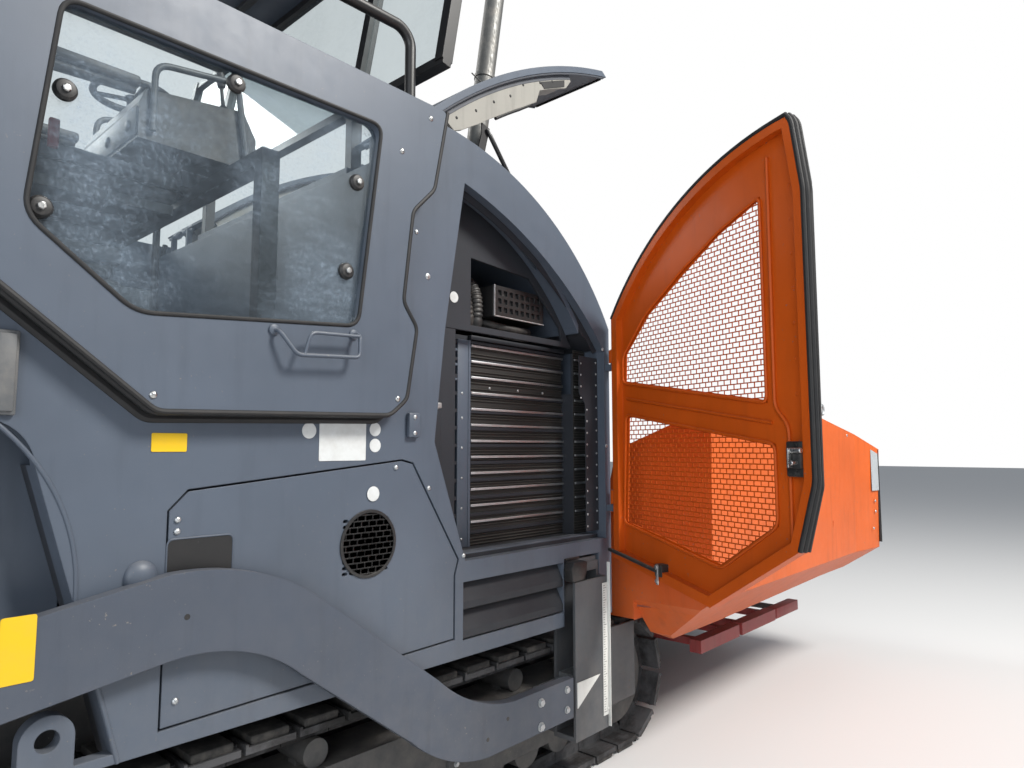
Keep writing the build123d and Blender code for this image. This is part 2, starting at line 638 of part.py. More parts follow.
# Tow posts: upright channels open to the rear, on brackets from the track frames, with their guards
with BuildPart() as tow_post_right:
    post_y = (POST_IN, ARM_OUT)
    right_block((POST_REAR, POST_FRONT), post_y, (POST_LOW, POST_HIGH))
    right_block(
        (POST_REAR, POST_FRONT - POST_WALL),
        (POST_IN + POST_WALL, ARM_OUT - POST_WALL),
        (POST_LOW, POST_HIGH - 40),
        Mode.SUBTRACT,
    )
    floor_y = (POST_IN + POST_WALL, ARM_OUT - POST_WALL)
    right_block((POST_REAR, POST_FRONT - POST_WALL), floor_y, (POST_LOW, POST_LOW + 20))
    right_block((POST_REAR + 10, POST_FRONT), (TRACK_PLATES_OUT, POST_IN), (POST_LOW + 10, FRAME_HIGH - 30))
    right_block((POST_REAR, POST_FRONT), (HALF_BODY, ARM_OUT), (POST_STEP, POST_HIGH), Mode.SUBTRACT)
    right_block((POST_REAR + 20, POST_FRONT - 10), (POST_IN + 5, HALF_BODY - 5), (POST_HIGH, POST_HIGH + 19))
    right_block((POST_FRONT, 1010), (POST_IN, POST_IN + POST_WALL), (250, 600))

# Tow-point slider: a block in the channel with an ear to the rear that carries the arm's pin
ear_in = POST_IN + 15
SLIDE_FIT = 0.5
slider_y = (POST_IN + POST_WALL + SLIDE_FIT, ARM_OUT - POST_WALL - SLIDE_FIT)
with BuildPart() as tow_slider_right:
    right_block((POST_REAR + 20, POST_FRONT - POST_WALL - SLIDE_FIT), slider_y, (PIVOT_Z - 75, PIVOT_Z + 75))
    right_block((PIVOT_X - 50, POST_REAR + 20), (slider_y[0], slider_y[0] + 22), (PIVOT_Z - 55, PIVOT_Z + 55))
    cross_rod(PIVOT_X, PIVOT_Z, PIVOT_PIN, (slider_y[0] + 22, ARM_IN - 2))

# Tow arm: an S-shaped plate from the pivot block over the track to the end of the screed
arm_block = (slider_y[0] + 22 + RUNNING, ARM_IN)
with BuildPart() as tow_arm_right:
    with BuildSketch(Plane.XZ.offset(ARM_IN)):
        with BuildLine():
            Polyline((385, 336), (385, 495), (20, 495))
            ThreePointArc((20, 495), (-180, 545), (-360, 660))
            Line((-360, 660), (-800, 985))
            ThreePointArc((-800, 985), (-1010, 1098), (-1250, 1126))
            Line((-1250, 1126), (-1900, 1000))
            ThreePointArc((-1900, 1000), (-2230, 900), (-2440, 720))
            Polyline((-2440, 720), (-2540, 580), (-2600, 420), (-2600, 120), (-2440, 120), (-2440, 420))
            ThreePointArc((-2440, 420), (-2250, 700), (-1900, 812))
            Line((-1900, 812), (-1250, 915))
            ThreePointArc((-1250, 915), (-1060, 900), (-880, 800))
            Line((-880, 800), (-470, 490))
            ThreePointArc((-470, 490), (-300, 380), (-120, 336))
            Line((-120, 336), (385, 336))
        make_face()
    extrude(amount=ARM_OUT - ARM_IN)
with BuildPart() as arm_pivot_right:
    right_block((PIVOT_X - 85, PIVOT_X + 75), arm_block, (PIVOT_Z - 65, PIVOT_Z + 65))
    cross_rod(PIVOT_X, PIVOT_Z, PIVOT_PIN + PIN_FIT, (arm_block[0], ARM_IN), Mode.SUBTRACT)

# Lift cylinders: the barrels hang from the platform's pins, the rods hold the tow arms' pins
lift_run = (LIFT_LOW[0] - LIFT_TOP[0], LIFT_LOW[1] - LIFT_TOP[1])
lift_length = hypot(*lift_run)
lift_way = (lift_run[0] / lift_length, 0, lift_run[1] / lift_length)
lift_mid = (LIFT_IN + LIFT_OUT) / 2
BARREL_LENGTH = 330.0
with BuildPart() as lift_barrel_right:
    cross_rod(LIFT_TOP[0], LIFT_TOP[1], 32, (lift_mid - 20, lift_mid + 20))
    with BuildSketch(Plane(origin=(LIFT_TOP[0], -lift_mid, LIFT_TOP[1]), z_dir=lift_way).offset(22)):
        Circle(LIFT_BARREL)
    extrude(amount=BARREL_LENGTH)
    cross_rod(LIFT_TOP[0], LIFT_TOP[1], 15 + PIN_FIT, (lift_mid - 60, lift_mid + 60), Mode.SUBTRACT)
    with BuildSketch(Plane(origin=(LIFT_TOP[0], -lift_mid, LIFT_TOP[1]), z_dir=lift_way).offset(45)):
        Circle(LIFT_ROD + PIN_FIT)
    extrude(amount=BARREL_LENGTH, mode=Mode.SUBTRACT)
with BuildPart() as lift_rod_right:
    cross_rod(LIFT_LOW[0], LIFT_LOW[1], 30, (lift_mid - 18, lift_mid + 18))
    barrel_plane = Plane(origin=(LIFT_TOP[0], -lift_mid, LIFT_TOP[1]), z_dir=lift_way)
    with BuildSketch(barrel_plane.offset(BARREL_LENGTH - 10)):
        Circle(LIFT_ROD)
    extrude(amount=lift_length - BARREL_LENGTH - 10)
    cross_rod(LIFT_LOW[0], LIFT_LOW[1], 15, (lift_mid, ARM_IN - RUNNING - 1))

# Screed: heated body with its front deflector, guide tubes and the crown hinge plates
with BuildPart() as screed_body:
    wide_plate(
        [
            (SCREED_FRONT, 60),
            (SCREED_FRONT + 60, 0),
            (SCREED_BACK, 0),
            (SCREED_BACK, SCREED_TOP),
            (SCREED_FRONT + 20, SCREED_TOP),
            (SCREED_FRONT, SCREED_TOP - 60),
        ],
        SCREED_HALF,
    )
    for side in (1, -1):
        for y0 in (60, 1090):
            y = sorted((side * y0, side * (y0 + 60)))
            block((GUIDE_X - 95, GUIDE_X + 95), y, (SCREED_TOP, GUIDE_Z + 20))
        with Locations((GUIDE_X, side * 605, GUIDE_Z + 40)):
            Cylinder(GUIDE_OUTER, 1090, rotation=(90, 0, 0))
        with Locations((GUIDE_X, side * 615, GUIDE_Z + 40)):
            Cylinder(GUIDE_INNER, 1090, rotation=(90, 0, 0), mode=Mode.SUBTRACT)

# Screed extension: slides out behind the body on its guide rod, with the end gate and walkway
with BuildPart() as screed_extension_right:
    right_block((EXT_BACK, EXT_FRONT), (15, EXT_OUT), (0, 330))
    bracket_y = (SCREED_HALF - 40, SCREED_HALF - 7)
    right_block((GUIDE_X - 70, GUIDE_X + 70), bracket_y, (GUIDE_Z - 40, GUIDE_Z + 120))
    right_block((EXT_FRONT - 60, GUIDE_X - 70), bracket_y, (SCREED_TOP + 15, GUIDE_Z + 120))
    right_block((EXT_FRONT - 60, EXT_FRONT), bracket_y, (330, SCREED_TOP + 15))
    cross_rod(GUIDE_X, GUIDE_Z + 40, GUIDE_ROD, (100, bracket_y[0]))
    right_block((EXT_BACK, EXT_FRONT - 30), (EXT_OUT, GATE_IN), (40, 300))
    plate(
        [(-2330, 20), (-2300, 0), (EXT_BACK - 60, 0), (EXT_BACK - 60, 330), (-2700, 400), (-2330, 400)],
        (GATE_IN, GATE_OUT),
    )
    right_block((REAR, EXT_BACK), (15, EXT_OUT), (250, 290))

# Augers: shaft with pitched flight segments
with BuildPart() as auger_right:
    cross_rod(AUGER_X, AUGER_Z, AUGER_SHAFT, (AUGER_IN, AUGER_OUT))
    flight_step = AUGER_PITCH / FLIGHTS_PER_TURN
    flight_count = int((AUGER_OUT - AUGER_IN - 130) / flight_step)
    sector = 360 / FLIGHTS_PER_TURN
    pitch_angle = degrees(atan2(AUGER_PITCH, 2 * pi * (AUGER_RADIUS + AUGER_SHAFT) / 2))
    for flight in range(flight_count):
        y = -(AUGER_IN + 65 + flight * flight_step)
        pitched = Location((0, 0, 0), (0, 0, pitch_angle))
        place = Location((AUGER_X, y, AUGER_Z), (0, flight * sector, 0)) * pitched
        with BuildSketch(Plane(place * Location((0, 0, 0), (90, 0, 0)))) as blade:
            with BuildLine():
                half = sector / 2 + 3
                CenterArc((0, 0), AUGER_RADIUS, 90 - half, 2 * half)
                root = AUGER_SHAFT - 12
                inner_right = (root * cos(radians(90 - half)), root * sin(radians(90 - half)))
                inner_left = (-inner_right[0], inner_right[1])
                outer_right = (AUGER_RADIUS * cos(radians(90 - half)), AUGER_RADIUS * sin(radians(90 - half)))
                Polyline(outer_right, inner_right, inner_left, (-outer_right[0], outer_right[1]))
            make_face()
        extrude(blade.sketch, amount=FLIGHT_THICK / 2, both=True)

# Auger carrier: cross tube, middle chain case and end bearings, on the frame's tail
with BuildPart() as auger_carrier:
    with Locations((-1905, 0, 720)):
        Cylinder(50, 2 * CARRIER_OUT, rotation=(90, 0, 0))
    block((-1900, FRAME_REAR), (-FRAME_OUT, -FRAME_IN), (640, TUNNEL_TOP))
    block((-1900, FRAME_REAR), (FRAME_IN, FRAME_OUT), (640, TUNNEL_TOP))
    wide_plate([(-1860, 770), (-1860, 640), (-1990, 230), (-2130, 230), (-2150, 420), (-1980, 770)], 80)
    for side in (1, -1):
        y = (CARRIER_OUT - 25, CARRIER_OUT) if side == -1 else (-CARRIER_OUT, 25 - CARRIER_OUT)
        plate([(-1865, 770), (-1865, 660), (-2000, 290), (-2120, 290), (-2120, 420), (-1960, 770)], y)
        with Locations((AUGER_X, side * 94.5, AUGER_Z)):
            Cylinder(30, 29, rotation=(90, 0, 0))
        with Locations((AUGER_X, side * (CARRIER_OUT - 32), AUGER_Z)):
            Cylinder(30, 15, rotation=(90, 0, 0))

# Window side shield in its closed place, and its pane
SHIELD = [
    (SHIELD_HINGE_X + 16.0, 2665.0),
    (-350.0, 2650.0),
    (-410.0, 2345.0),
    (-505.0, 2245.0),
    (-542.0, 1925.0),
    (-482.0, 1845.0),
    (-522.0, 1600.0),
    (-590.0, 1545.0),
    (-1310.0, 1530.0),
    (-1635.0, 1786.0),
    (SHIELD_HINGE_X + 16.0, 2040.0),
]
PANE = [(-1560.0, 2490.0), (-640.0, 2500.0), (-720.0, 1820.0), (-1370.0, 1770.0), (-1610.0, 1960.0)]
with BuildPart() as side_shield_right:
    with BuildSketch(Plane.XZ.offset(SHIELD_IN)) as outline:
        Polygon(*SHIELD, align=None)
        fillet(outline.vertices(), 22)
        with BuildSketch(Plane.XZ.offset(SHIELD_IN), mode=Mode.SUBTRACT) as window:
            Polygon(*PANE, align=None)
            fillet(window.vertices(), 45)
    extrude(amount=SHIELD_OUT - SHIELD_IN)
    cross_y = (SHIELD_IN + SHIELD_OUT) / 2
    for z in (2120, 2560):
        right_block((SHIELD_HINGE_X, SHIELD_HINGE_X + 30), (cross_y - 10, cross_y + 10), (z, z + 60))
        with Locations((SHIELD_HINGE_X, -cross_y, z + 30)):
            Cylinder(KNUCKLE, 60)
            Cylinder(HINGE_PIN + PIN_FIT, 60, mode=Mode.SUBTRACT)
with BuildPart() as shield_glass_right:
    with BuildSketch(Plane.XZ.offset(SHIELD_IN + 10)) as outline:
        Polygon(*PANE, align=None)
        fillet(outline.vertices(), 45)
    extrude(amount=8)

# Service door, built in its open place: the sketch plane's x runs from the hinge to the free edge
DOOR_OUTLINE = [
    (26.0, 948.0),
    (640.0, 845.0),
    (1062.0, 1104.0),
    (1130.0, 1330.0),
    (1126.0, 2300.0),
    (1088.0, 2545.0),
    (1068.0, 2574.0),
]
DOOR_TOP = (498.0, 2434.0)
DOOR_SHOULDER = 2040.0
UPPER_WINDOW = [
    (72.0, 1735.0),
    (920.0, 1597.0),
    (915.0, 2342.0),
    (712.0, 2275.0),
    (490.0, 2169.0),
    (240.0, 2024.0),
    (77.0, 1862.0),
]
LOWER_WINDOW = [
    (70.0, 1104.0),
    (336.0, 1055.0),
    (674.0, 992.0),
    (951.0, 1174.0),
    (950.0, 1454.0),
    (94.0, 1591.0),
]
door_way = (-cos(radians(DOOR_OPEN)), -sin(radians(DOOR_OPEN)), 0)
door_plane = Plane(
    origin=(DOOR_HINGE_X, -DOOR_HINGE_Y, 0),
    x_dir=door_way,
    z_dir=(door_way[1], -door_way[0], 0),
)


def door_outline():
    """The door's edges in its own plane: a straight hinge edge, a V-shaped foot and a curved top."""
    shoulder = (DOOR_OUTLINE[0][0], DOOR_SHOULDER)
    with BuildLine() as edge:
        Polyline(shoulder, *DOOR_OUTLINE)
        ThreePointArc(DOOR_OUTLINE[-1], DOOR_TOP, shoulder)
    return edge.edges()


with BuildPart() as service_door_right:
    with BuildSketch(door_plane.offset(-DOOR_THICK / 2)) as outline:
        make_face(door_outline())
    extrude(amount=DOOR_THICK)
    with BuildSketch(door_plane.offset(-DOOR_THICK / 2 + 12)) as pan:
        make_face(door_outline())
        offset(amount=-40, kind=Kind.INTERSECTION, mode=Mode.REPLACE)
    extrude(pan.sketch, amount=DOOR_THICK, mode=Mode.SUBTRACT)
    with BuildSketch(door_plane.offset(-DOOR_THICK / 2)) as windows:
        for corners in (UPPER_WINDOW, LOWER_WINDOW):
            Polygon(*corners, align=None)
    extrude(windows.sketch, amount=DOOR_THICK, mode=Mode.SUBTRACT)
    for z in DOOR_HINGES:
        with Locations((DOOR_HINGE_X, -DOOR_HINGE_Y, z + 36 + 30)):
            Cylinder(KNUCKLE, 60)
        with BuildSketch(door_plane.offset(-10)) as web:
            with Locations((15, z + 66)):
                Rectangle(30, 60)
        extrude(web.sketch, amount=20)
        with Locations((DOOR_HINGE_X, -DOOR_HINGE_Y, z + 66)):
            Cylinder(HINGE_PIN + PIN_FIT, 60, mode=Mode.SUBTRACT)
with BuildPart() as door_mesh_right:
    with BuildSketch(door_plane.offset(-DOOR_THICK / 2 + 2)) as windows:
        for corners in (UPPER_WINDOW, LOWER_WINDOW):
            Polygon(*corners, align=None)
    extrude(amount=4)

# Hood lid, built raised: the sketch plane stands at the hinge and is turned up by the open angle
def lid_point(x, out):
    """A point of the closed lid, on its lower face or outside it, measured from the hinge."""
    z = LID_CENTRE[1] + ((LID_RADIUS + out) ** 2 - (x - LID_CENTRE[0]) ** 2) ** 0.5
    return (x - LID_HINGE[0], z - LID_HINGE[1])


lid_turn = radians(LID_OPEN)
lid_plane = Plane(
    origin=(LID_HINGE[0], -LID_IN, LID_HINGE[1]),
    x_dir=(cos(lid_turn), 0, sin(lid_turn)),
    z_dir=(0, -1, 0),
)
with BuildPart() as hood_lid_right:
    with BuildSketch(lid_plane):
        with BuildLine():
            lid_rear, lid_middle, lid_front = (x for x, z in LID_LINE)
            ThreePointArc(lid_point(lid_rear, 0), lid_point(lid_middle, 0), lid_point(lid_front, 0))
            Line(lid_point(lid_front, 0), lid_point(lid_front, LID_THICK))
            ThreePointArc(
                lid_point(lid_front, LID_THICK),
                lid_point(lid_middle, LID_THICK),
                lid_point(lid_rear, LID_THICK),
            )
            Line(lid_point(lid_rear, LID_THICK), lid_point(lid_rear, 0))
        make_face()
    extrude(amount=LID_OUT - LID_IN)
    for out in (LID_LUGS[0] + LUG_THICK + RUNNING, LID_LUGS[1] - RUNNING - 40):
        knuckle_plane = lid_plane.offset(out - LID_IN)
        with BuildSketch(knuckle_plane) as tube:
            Circle(KNUCKLE)
            with Locations((30, -8)):
                Rectangle(60, 24)
        extrude(tube.sketch, amount=40)
        with BuildSketch(knuckle_plane) as bore:
            Circle(HINGE_PIN + PIN_FIT)
        extrude(bore.sketch, amount=40, mode=Mode.SUBTRACT)

# Canopy frame: four posts, roof beams, windscreen rails and stiles, the screen leaning forward
WINDSCREEN_LEAN = 10.0
SCREEN_LOW = 2870.0
ROOF_LOW = 3740.0
lean = radians(WINDSCREEN_LEAN)
screen_plane = Plane(origin=(-330, 0, SCREEN_LOW), x_dir=(0, 1, 0), z_dir=(cos(lean), 0, -sin(lean)))
screen_high = (ROOF_LOW - SCREEN_LOW - 25 * sin(lean)) / cos(lean)
with BuildPart() as canopy_frame:
    for y in (-1, 1):
        with BuildSketch(screen_plane):
            with Locations((y * 680, screen_high / 2), (y * 1235, screen_high / 2)):
                Rectangle(45, screen_high)
        extrude(amount=25, both=True)
        block((-360, -310), sorted((y * 657.5, y * 702)), (POST_FOOT, SCREEN_LOW + 60))
        block((-1870, -1810), sorted((y * 860, y * 920)), (FLOOR_TOP, ROOF_LOW))
    with BuildSketch(screen_plane):
        with Locations((0, 0), (0, screen_high - 25)):
            Rectangle(2515, 40)
    extrude(amount=20, both=True)
    for y in (-1, 1):
        block((-1870, -190), sorted((y * 860, y * 920)), (ROOF_LOW - 44, ROOF_LOW))
with BuildPart() as windscreen_glass:
    with BuildSketch(screen_plane.offset(-3)):
        with Locations((0, screen_high / 2 - 12.5)):
            Rectangle(1315, screen_high - 65)
        with Locations((-957.5, screen_high / 2 - 12.5), (957.5, screen_high / 2 - 12.5)):
            Rectangle(510, screen_high - 65)
    extrude(amount=6)
with BuildPart() as canopy_roof:
    block((-2300, -130), (-1000, 1000), (ROOF_LOW, ROOF_LOW + 90))
    fillet(canopy_roof.edges().filter_by(Axis.Z), 120)
    chamfer(canopy_roof.edges().group_by(Axis.Z)[-1], 35)

# Handrails: inside the side shields and across the rear, with the shields' hinge lugs
RAIL = 20.0
RAIL_Y = HALF_BODY - 65
RAIL_FRONT = -425.0
RAIL_REAR = -1925.0
SHIELD_LUGS = (2120.0, 2560.0)
shield_mid = (SHIELD_IN + SHIELD_OUT) / 2
with BuildPart() as handrails:
    for side in (1, -1):
        y = side * RAIL_Y
        with BuildLine() as path:
            FilletPolyline(
                (RAIL_FRONT, y, FLOOR_TOP),
                (RAIL_FRONT, y, 2980),
                (RAIL_REAR, y, 2940),
                (RAIL_REAR, y, FLOOR_TOP),
                radius=70,
            )
        with BuildSketch(Plane(origin=(RAIL_FRONT, y, FLOOR_TOP), z_dir=(0, 0, 1))) as ring:
            Circle(RAIL)
        sweep(ring.sketch, path=path.line)
        for z in SHIELD_LUGS:
            lug_z = (z - 35, z - 5)
            block((SHIELD_HINGE_X - 14, RAIL_REAR), sorted((side * RAIL_Y, side * (SHIELD_IN - 10))), lug_z)
            block(
                (SHIELD_HINGE_X - 14, SHIELD_HINGE_X + 6),
                sorted((side * (SHIELD_IN - 10), side * shield_mid)),
                lug_z,
            )
            with Locations((SHIELD_HINGE_X, side * shield_mid, z + 15)):
                Cylinder(HINGE_PIN, 70)
    for z in (2250, 2800):
        with Locations((RAIL_REAR, 0, z)):
            Cylinder(RAIL - 4, 2 * RAIL_Y, rotation=(90, 0, 0))

# Seats: frames with pedestals, and their cushions
with BuildPart() as seat_frames:
    for side in (1, -1):
        y = side * 720
        block((-1450, -1300), (y - 80, y + 80), (FLOOR_TOP, 2150))
        block((-1600, -1150), (y - 200, y + 200), (2150, 2180))
        block((-1660, -1630), (y - 180, y + 180), (2150, 2700))
        block((-1640, -1600), (y - 60, y + 60), (2150, 2180))
with BuildPart() as seat_cushions:
    for side in (1, -1):
        y = side * 720
        block((-1600, -1120), (y - 240, y + 240), (2180.3, 2290))
        block((-1629.7, -1520), (y - 230, y + 230), (2310, 2780))

# Control console on its cross rail, with the steering wheel
with BuildPart() as console_rail:
    block((-960, -900), (-REAR_HALF, REAR_HALF), (2330, 2380))
    for side in (1, -1):
        block((-960, -900), sorted((side * (REAR_HALF - 50), side * REAR_HALF)), (FLOOR_TOP, 2330))
with BuildPart() as console:
    block((-990, -870), (-570, -370), (2380 + SEAT, 2440))
    block((-1200, -800), (-740, -200), (2440, 2560))
    plate([(-1200, 2560), (-800, 2560), (-850, 2650), (-1180, 2610)], (200, 740))
    with Locations((-1130, -470, 2640)):
        Cylinder(20, 80)

# Hopper wing: bent skin over a box skirt, with rear wall and rim, on its hinge tube
WING_BEND = 2950.0
WING_FLARE = 42.0
WING_INNER = [
    (WING_HINGE_Y, 664.0),
    (WING_HINGE_Y, LEDGE_TOP - 12),
    (1238.0, LEDGE_TOP - 12),
    (1262.0, 498.0),
    (1288.0, 498.0),
]
WING_OUTER = [
    (1640.0, 765.0),
    (1656.0, 1430.0),
    (1656.0, 1660.0),
    (1628.0, 1660.0),
    (1628.0, 1430.0),
    (1612.0, 796.0),
]
with BuildPart() as hopper_wing_right:
    section(WING_INNER + WING_OUTER + [(1300.0, 690.0)], (WING_REAR, WING_BEND))
    flare = [(out + WING_FLARE, up) for out, up in WING_OUTER]
    with BuildSketch(Plane.YZ.offset(WING_BEND)) as straight_end:
        Polygon(*[(-out, up) for out, up in WING_INNER + WING_OUTER + [(1300.0, 690.0)]], align=None)
    with BuildSketch(Plane.YZ.offset(FRONT)) as flared_end:
        Polygon(*[(-out, up) for out, up in WING_INNER + flare + [(1300.0, 690.0)]], align=None)
    loft([straight_end.sketch, flared_end.sketch], ruled=True)
    section([(962, 650), (1262, 660), (1620, 790), (1640, 1620), (1150, 1430)], (WING_REAR, WING_REAR + 30))
    plate(
        [
            (WING_REAR, 400),
            (1130, 400),
            (1630, 495),
            (3300, 608),
            (3322, 760),
            (FRONT, 1430),
            (WING_BEND, 1530),
            (2280, 1625),
            (1250, 1640),
            (WING_REAR, 1600),
        ],
        (800, 1800),
        Mode.INTERSECT,
    )
    right_block((3168, FRONT), (800, 1010), (400, 760), Mode.SUBTRACT)
    plate(
        [(WING_REAR - 10, 400), (1185, 400), (1185, 497), (1030, 555), (941, 690), (WING_REAR - 10, 735)],
        (1239, 1800),
        Mode.SUBTRACT,
    )
    with Locations(((WING_REAR + WING_FRONT) / 2, -WING_HINGE_Y, WING_HINGE_Z)):
        Cylinder(WING_TUBE, WING_FRONT - WING_REAR - 20, rotation=(0, 90, 0))
        Cylinder(WING_PIN + PIN_FIT, WING_FRONT - WING_REAR, rotation=(0, 90, 0), mode=Mode.SUBTRACT)

# Apron: the flap that closes the hopper's front
with BuildPart() as hopper_apron:
    ax, az = APRON_HINGE
    wide_plate([(ax - 12, az + 10), (ax + 12, az + 10), (ax + 110, 930), (ax + 85, 930)], APRON_HALF)
    with Locations((ax, 0, az)):
        Cylinder(20, 2 * APRON_HALF, rotation=(90, 0, 0))
    for side in (1, -1):
        with Locations((ax, side * (APRON_HALF - 20), az)):
            Cylinder(WING_PIN + PIN_FIT, 60, rotation=(90, 0, 0), mode=Mode.SUBTRACT)

# Push beam, swivelling on its middle pin, and its two rollers
with BuildPart() as push_beam:
    block((BEAM_BACK, BEAM_FRONT), (-BEAM_HALF, BEAM_HALF), (335, 462))
    with Locations((BEAM_PIVOT_X, 0, 400)):
        Cylinder(44, 124)
    block((BEAM_PIVOT_X, BEAM_BACK), (-40, 40), (345, 455))
    with Locations((BEAM_PIVOT_X, 0, 400)):
        Cylinder(PUSH_PIN + PIN_FIT, 130, mode=Mode.SUBTRACT)
    for side in (1, -1):
        for y0 in (PUSH_IN - 30, PUSH_OUT + RUNNING):
            ear_y = sorted((side * y0, side * (y0 + 25)))
            block((BEAM_FRONT, PUSH_X + 35), ear_y, (PUSH_Z - 35, PUSH_Z + 35))
        with Locations((PUSH_X, side * (PUSH_IN + PUSH_OUT) / 2, PUSH_Z)):
            Cylinder(PUSH_PIN, PUSH_OUT - PUSH_IN + 30, rotation=(90, 0, 0))
with BuildPart() as push_roller_right:
    cross_rod(PUSH_X, PUSH_Z, PUSH_RADIUS, (PUSH_IN, PUSH_OUT))
    cross_rod(PUSH_X, PUSH_Z, PUSH_PIN + PIN_FIT, (PUSH_IN, PUSH_OUT), Mode.SUBTRACT)

# Work lamps on the canopy's front edge and the hood's front
with BuildPart() as lamps:
    for y in (-800, 800):
        block((-130, -70), (y - 70, y + 70), (ROOF_LOW + 5, ROOF_LOW + 75))
    for y in (-450, 450):
        block((BODY_FRONT, BODY_FRONT + 60), (y - 60, y + 60), (1780, 1860))

# Pieces, each with its name; the right-hand ones listed last also get a left-hand twin
pieces = {
    "main_frame": main_frame,
    "cross_beams": cross_beams,
    "conveyor_deck": conveyor_deck,
    "conveyor_slats": conveyor_slats,
    "side_bars": side_bars,
    "engine_hood": engine_hood,
    "engine_block": engine_block,
    "exhaust_stack": exhaust_stack,
    "platform_floor": platform_floor,
    "rear_body": rear_body,
    "auger_carrier": auger_carrier,
    "canopy_frame": canopy_frame,
    "windscreen_glass": windscreen_glass,
    "canopy_roof": canopy_roof,
    "handrails": handrails,
    "seat_frames": seat_frames,
    "seat_cushions": seat_cushions,
    "console_rail": console_rail,
    "console": console,
    "hopper_apron": hopper_apron,
    "push_beam": push_beam,
    "lamps": lamps,
    "screed_body": screed_body,
}
sided = {
    "track": track_right,
    "track_frame": track_frame_right,
    "body_side": body_side_right,
    "cooler": cooler_right,
    "service_door": service_door_right,
    "door_mesh": door_mesh_right,
    "hood_lid": hood_lid_right,
    "side_shield": side_shield_right,
    "shield_glass": shield_glass_right,
    "hopper_wing": hopper_wing_right,
    "push_roller": push_roller_right,
    "auger": auger_right,
    "screed_extension": screed_extension_right,
}
paired = {
    "service_panels": service_panel_right,
    "louvres": louvres_right,
    "air_boxes": air_box_right,
    "tow_posts": tow_post_right,
    "tow_sliders": tow_slider_right,
    "tow_arms": tow_arm_right,
    "arm_pivots": arm_pivot_right,
    "lift_barrels": lift_barrel_right,
    "lift_rods": lift_rod_right,
}
for name, right in sided.items():
    with BuildPart() as left:
        add(right.part)
        mirror(about=Plane.XZ, mode=Mode.REPLACE)
    pieces[name + "_right"] = right
    pieces[name + "_left"] = left
for name, right in paired.items():
    with BuildPart() as pair:
        add(right.part)
        mirror(about=Plane.XZ)
    pieces[name] = pair
for name, piece in pieces.items():
    piece.part.label = name
    export_step(piece.part, f"parts/{name}.step")
print(len(pieces), "pieces written")
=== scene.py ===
# Tracked asphalt paver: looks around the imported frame. Metres, X forward, Y left, Z up.
import math
import bmesh
import bpy
from mathutils import Matrix, Vector


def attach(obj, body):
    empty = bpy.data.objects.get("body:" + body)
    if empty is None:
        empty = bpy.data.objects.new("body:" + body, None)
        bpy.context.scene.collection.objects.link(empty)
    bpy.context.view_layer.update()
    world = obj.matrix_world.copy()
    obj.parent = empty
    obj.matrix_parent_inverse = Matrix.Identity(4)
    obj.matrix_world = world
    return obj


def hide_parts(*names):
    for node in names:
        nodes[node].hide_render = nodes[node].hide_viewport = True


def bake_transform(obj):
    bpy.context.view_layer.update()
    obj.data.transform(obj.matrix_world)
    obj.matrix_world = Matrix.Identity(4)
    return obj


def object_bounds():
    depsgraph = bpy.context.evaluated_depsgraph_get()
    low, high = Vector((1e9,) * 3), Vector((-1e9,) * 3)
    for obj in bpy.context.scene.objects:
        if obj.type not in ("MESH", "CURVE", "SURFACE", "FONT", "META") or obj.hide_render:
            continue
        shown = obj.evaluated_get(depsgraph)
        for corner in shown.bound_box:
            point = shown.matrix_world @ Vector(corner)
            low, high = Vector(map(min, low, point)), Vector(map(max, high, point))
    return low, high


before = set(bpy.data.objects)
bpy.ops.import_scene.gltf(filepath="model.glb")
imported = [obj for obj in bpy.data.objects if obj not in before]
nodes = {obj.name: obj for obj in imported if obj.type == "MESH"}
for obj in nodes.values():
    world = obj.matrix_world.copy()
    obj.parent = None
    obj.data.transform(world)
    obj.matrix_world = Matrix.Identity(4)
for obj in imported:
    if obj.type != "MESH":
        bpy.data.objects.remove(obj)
cad_box = [list(corner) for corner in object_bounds()]
scene = bpy.context.scene
RIGHT, LEFT = -1, 1
WORDS = {RIGHT: "_right", LEFT: "_left"}
X, Y, Z = Vector((1, 0, 0)), Vector((0, 1, 0)), Vector((0, 0, 1))


def placed(name, data):
    """A new object in the scene."""
    made = bpy.data.objects.new(name, data)
    scene.collection.objects.link(made)
    return made


# Camera, solved from the photograph
cam_data = bpy.data.cameras.new("camera")
cam_data.lens = 24.6
cam_data.sensor_width = 36.0
cam_data.clip_start = 0.05
cam_data.clip_end = 200.0
camera = placed("camera", cam_data)
forward = Vector((0.7378, 0.669, 0.091))
camera.location = (-2.0, -3.095, 1.44)
camera.rotation_mode = "QUATERNION"
camera.rotation_quaternion = forward.to_track_quat("-Z", "Y")
scene.camera = camera
scene.view_settings.view_transform = "Standard"

# Materials
DUST = (0.3, 0.27, 0.235)
RESIDUE = (0.014, 0.012, 0.011)
GREY = (0.078, 0.098, 0.132)
# Dark grey: painted shade in recesses, and the dark paint of some parts there
DARK_AND_SHADE = (0.026, 0.029, 0.036)


